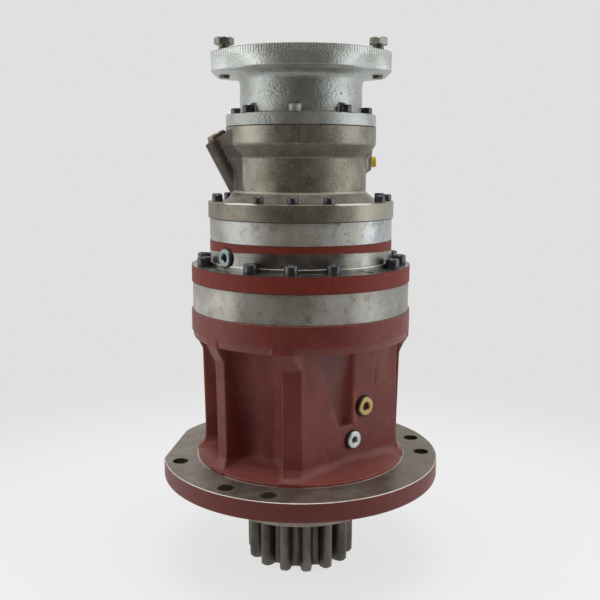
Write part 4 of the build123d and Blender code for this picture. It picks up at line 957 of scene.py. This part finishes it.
def grey_casting():
    """Pale grey iron with a rough mould skin, with painted light and painted shade on its flange, foot and
    hollows. The top edge at the front has fine upright tool marks.
    """
    iron = Finish("grey_casting", 0.7, 0.4)
    height, side = iron.coordinate("Z"), iron.coordinate("X")
    clouds = iron.noise(30, 5)
    neck = iron.mix(clouds.steps(0.3, 0.7), tone(166, 168, 162), tone(192, 196, 193))
    ears = iron.coats(
        iron.mix(clouds.steps(0.3, 0.7), tone(182, 184, 178), tone(210, 215, 212)),
        # Lighter left ear and darker middle and right of the top flange: painted light and painted shade from
        # the side lamps.
        (side.steps(-50, -74), 0.35, 240, 244, 240),
        (side.between(-30, 62, 16), 0.4, 150, 150, 142),
    )
    seam = iron.larger(side.between(-66, -36, 6), side.between(14, 70, 8))
    seam = seam * height.between(535.0, 539.0, 0.8) * iron.noise(1.7, 3).steps(0.5, 0.62)
    # Darker tone on the left of the foot: painted shade.
    painted_foot_shade = height.steps(516, 513) * side.between(-80, -44, 10)
    comb = iron.math("SINE", side * (2 * math.pi / 3.3) + iron.noise(12, 3) * 2.6)
    upper = (height + iron.noise(3, 3) * 4).steps(583.5, 586.5)
    combed = comb.steps(0.1, 0.8) * (upper * iron.noise(18, 3).steps(0.3, 0.5))
    joints = iron.larger(height.steps(497.0, 496.4), height.steps(590.9, 591.3))
    colour = iron.coats(
        iron.mix(height.steps(562, 570), neck, ears),
        (seam, 0.55, 236, 238, 234),
        # painted shade on the foot's left
        (painted_foot_shade, 0.4, 120, 118, 110),
        (iron.noise(1.5, 6).steps(0.55, 0.75), 0.5, 116, 110, 98),
        (iron.cells(7).steps(0.1, 0.04), 0.5, 70, 60, 54),
        # painted shade in creases and hollows, found by pointiness
        (iron.edges(0.49, 0.44), 0.4, 104, 98, 88),
        (combed, 0.45, 120, 114, 102),
        (joints, 0.7, 44, 40, 36),
    )
    iron.bump(iron.cells(3.8), 0.5, 0.45)
    iron.bump(iron.noise(3.2, 3), 1.0, 0.55)
    iron.bump(iron.noise(1.4, 4), 0.2, 0.6)
    iron.bump(combed, 0.3, 0.9)
    return iron.done(colour, clouds * 0.2 + 0.32)


at_screws = [angle + np.arange(-9, 9, 0.6) for angle in adapter_screw_angles]
at_ears = [angle + np.arange(-6, 6, 0.6) for angle in (59, 121, 239, 301)]
adapter_angles = angles_with(1.5, *at_screws, *at_ears)
adapter_heights = np.r_[
    496:497.4:0.35, 502, 508, 510.5:514:0.35, 514.5:530:0.9, 532, 534, 535:539.4:0.35, 541, 544.5, 548,
    550:564:1.0, 564.2:568.4:0.3, 569:590:1.5, 590:592:0.25,
]
adapter_bore = [(71, 591.98), (70, 591.2), (70, 581), (66, 581), (66, 519), (40, 519), (40, 500), (35, 500)]
adapter_bore += [(35, 496)]
adapter_wall = (adapter_distance, adapter_angles, adapter_heights, 67, 150)
adapter = cast("motor_adapter_casting", *adapter_wall, adapter_bore)
fit(adapter, grey_casting(), "motor_adapter")

# Screws and bolts of the adapter
# Eight M10 cap screws hold its foot, the front one bare of its oxide. Two M16 hexagon bolts stand loose in
# the ears, ready for the motor.
adapter_screw = {"head": 8.0, "height": 10.0, "key": 8.0, "shank": 5.0, "length": 35.0}
adapter_screws = cap_screws(
    "adapter_screws", screw_circle, adapter_foot_top, adapter_screw_angles, 8, **adapter_screw
).data
adapter_screws.materials.append(plain_metal("bright_screw", (206, 204, 196), 0.55, 0.35))
for polygon in adapter_screws.polygons[: len(adapter_screws.polygons) // len(adapter_screw_angles)]:
    polygon.material_index = 1


def hex_bolt_rings(across_flats, head_height, shank, length, pitch):
    """A hexagon bolt with a threaded shank below height 0, its head chamfered by a cone."""
    angles = even_angles(48)
    flats = hexagon(across_flats / 2, angles)
    outline = [(0.3, -length), (shank - 1.4, -length)]
    for height in np.arange(-length + 1.2, -0.6, 0.4):
        phase = (height / pitch - angles / 360) % 1
        outline.append((shank - 1.1 * np.abs(phase * 2 - 1), height))
    outline += [(shank * 0.98, -0.1), (np.minimum(flats, across_flats * 0.5), 0)]
    outline += [(np.minimum(flats, across_flats * 0.53), 0.5), (flats, 1.2), (flats, head_height - 1.8)]
    outline += [(np.minimum(flats, across_flats * 0.535), head_height - 1.0)]
    outline += [(across_flats * 0.48, head_height), (0.3, head_height)]
    return turned_rings(outline, angles)


loose_bolt = hex_bolt_rings(across_flats=24.0, head_height=10.0, shank=8.0, length=45.0, pitch=2.0)
bolt_places = [(-106.0, 0, 607.0), (106.0, 0, 607.0)]
bolt_zinc = plain_metal("bolt_zinc", (150, 148, 138), 0.34)
standing("motor_bolts", loose_bolt, bolt_places, 11, bolt_zinc, 32)

# Oil plugs
# Socket plugs on the cheek, the stage cover and the slanted port, each on its own sealing ring: one of brass
# colour, two zinc plated and one dark. A yellow cap keeps dirt out of the brake release port.
seal_height = 1.5
plug_depth = 14.0


def plug_rings(collar, rise, key, thread):
    """A plug with a chamfered collar and a hexagon socket, its collar standing on height 0."""
    angles = even_angles(48)
    socket = hexagon(key / 2, angles)
    outline = [(0.3, -plug_depth), (thread - 1, -plug_depth), (thread, -plug_depth + 1), (thread, -0.1)]
    outline += [(collar - 0.4, 0), (collar, 0.5), (collar, rise * 0.62), (collar - 1.6, rise)]
    outline += [(key * 0.72, rise), (key * 0.64, rise - 0.5), (socket * 1.03, rise - 1.2)]
    outline += [(socket, rise - 1.8), (socket, -2), (0.3, -3)]
    return turned_rings(outline, angles)


def facing(outward, place, seed):
    """A copy of a plug that looks along outward."""
    outward = np.array(outward) / np.linalg.norm(outward)
    side = np.cross((0, 0, 1), outward)
    side = side / np.linalg.norm(side)
    turn = np.random.default_rng(seed).uniform(0, math.pi / 3)
    first = side * math.cos(turn) + np.cross(outward, side) * math.sin(turn)
    return np.stack([first, np.cross(outward, first), outward], 1), place


cheek_out = np.array(spot(1, cheek_angle))
cheek_side = np.array(spot(1, cheek_angle + 90))
cheek_face = cheek_out * (cheek_reach + seal_height)
level_place = cheek_face + cheek_side * 23.0 + (0, 0, 115.0)
drain_place = cheek_face + cheek_side * 2.0 + (0, 0, 71.0)
stage_out = np.array(spot(1, -50.0))
stage_place = stage_out * (127.7 + seal_height) + (0, 0, 322.3)
port_out = np.array((-math.sin(port_tilt), 0, math.cos(port_tilt)))
port_place = np.array((port_centre[0], 0, port_centre[1])) + port_out * seal_height
brass = plain_metal("plug_brass", (182, 158, 108), 0.36)
green_zinc = plain_metal("green_zinc", (158, 172, 172), 0.34)
dull_zinc = plain_metal("dull_zinc", (150, 142, 132), 0.42)
level_size, drain_size = (13.6, 3.4, 10.0, 10.0), (12.3, 3.2, 8.0, 10.0)
stage_size, port_size = (12.6, 4.2, 10.0, 10.0), (14.0, 6.0, 10.0, 12.0)
for seed, node, colour, size, outward, place, material, slot in (
    (1, "level_plug", "brass", level_size, cheek_out, level_place, brass, "plug_brass"),
    (2, "drain_plug", "zinc", drain_size, cheek_out, drain_place, zinc, "zinc_plate"),
    (3, "stage_plug", "zinc", stage_size, stage_out, stage_place, green_zinc, "zinc_plate"),
    (4, "port_plug", "dull", port_size, port_out, port_place, dull_zinc, "zinc_plate"),
):
    rings = plug_rings(*size)
    plug = skin(f"{node}_{colour}", rings, closed=False, copies=[facing(outward, place, seed)])
    fit(plug, material, node, 32)
dress(plain_metal("copper_washer", (150, 84, 66), 0.4, 0.8), "port_washer")
yellow = Finish("yellow_cap", roughness=0.4)
yellow.soft_edges(0.8)
yellow_tones = yellow.mix(yellow.noise(5, 3), tone(255, 220, 14), tone(255, 232, 50))
dress(yellow.done(yellow_tones), "release_port_cap")

# Studio
# A pale floor that melts into the backdrop, two tall soft boxes at the sides, a soft top light and a dim warm
# room in front, so that turned faces are bright at their sides and dark in their middle.
floor_level = -130.0
floor_size = 4.0
floor_fades = (380.0, 1100.0)
backdrop_tone = tone(224, 224, 224)
room_tone = (0.5, 0.51, 0.51, 1)
front_tone = (0.095, 0.078, 0.068, 1)
side_light_power = 9.0
top_light_power = 18.0


def soft_box(name, place, aim_height, width, height, power, colour):
    """A large lamp that is turned to a height on the gear axis."""
    light = bpy.data.lights.new(name, "AREA")
    light.shape = "RECTANGLE"
    light.size = width
    light.size_y = height
    light.energy = power
    light.color = colour
    lamp = put(name, light)
    lamp.location = place
    aim = Vector((0, 0, aim_height)) - Vector(place)
    lamp.rotation_euler = aim.to_track_quat("-Z", "Y").to_euler()


def rays(graph, kind):
    """1 for light rays of one kind and 0 for the others."""
    return graph.node("LightPath", f"Is {kind} Ray", {})


soft_box("left_box", (-1.5, -0.35, 0.5), 0.22, 1.1, 1.7, side_light_power, (0.97, 1.0, 1.0))
soft_box("right_box", (1.5, -0.35, 0.5), 0.22, 1.1, 1.7, side_light_power + 1, (0.93, 0.985, 1.0))
soft_box("top_box", (0, -0.25, 1.9), 0.2, 1.3, 1.3, top_light_power, (1.0, 0.99, 0.97))

floor_mesh = bpy.data.meshes.new("floor")
floor_corners = [(x * floor_size, y * floor_size) for x, y in ((-1, -1), (1, -1), (1, 1), (-1, 1))]
floor_mesh.from_pydata([(x, y, floor_level * mm - 0.0002) for x, y in floor_corners], [], [(0, 1, 2, 3)])
floor = put("floor", floor_mesh)
ground = Finish("pale_floor", roughness=0.9, shine=0.1)
shown = ground.larger(rays(ground, "Glossy"), rays(ground, "Transmission"))
shown = ground.larger(rays(ground, "Camera"), shown)
lit = Value(ground, ground.shader.outputs["BSDF"])
seen = ground.node("Emission", "Emission", {"Color": tone(249, 249, 249)})
near = ground.node("MixShader", "Shader", {"Fac": shown * 0.72, 1: lit, 2: seen})
clear = ground.node("BsdfTransparent", "BSDF", {})
blend = {"Fac": ground.radius().steps(*floor_fades), 1: near, 2: clear}
surface = ground.tree.nodes["Material Output"].inputs["Surface"]
ground.link(ground.node("MixShader", "Shader", blend), surface)
floor.data.materials.append(ground.done(backdrop_tone))

world = bpy.data.worlds.new("room")
bpy.context.scene.world = world
room = Graph(world)
direction = room.node("TexCoord", "Generated", {})
front = room.node("SeparateXYZ", "Y", {"Vector": direction}).steps(0.25, -0.75)
mirrored = room.larger(rays(room, "Glossy"), rays(room, "Transmission"))
around = room.mix(mirrored, room_tone, backdrop_tone)
around = room.mix(front, around, front_tone)
around = room.mix(rays(room, "Camera"), around, backdrop_tone)
room.link(around, room.tree.nodes["Background"].inputs["Color"])

# Camera
# It stands a little over a metre in front of the gearbox, at the height of the brake housing, and looks
# slightly down.
camera = put("camera", bpy.data.cameras.new("camera"))
camera.location = (-0.0009, -1.1669, 0.4474)
camera.rotation_euler = (math.radians(80.5), math.radians(-0.118), math.radians(0.02))
camera.data.lens = 49.13
camera.data.sensor_width = 36.0
camera.data.clip_start = 0.05
bpy.context.scene.camera = camera
bpy.context.scene.view_settings.view_transform = "Standard"
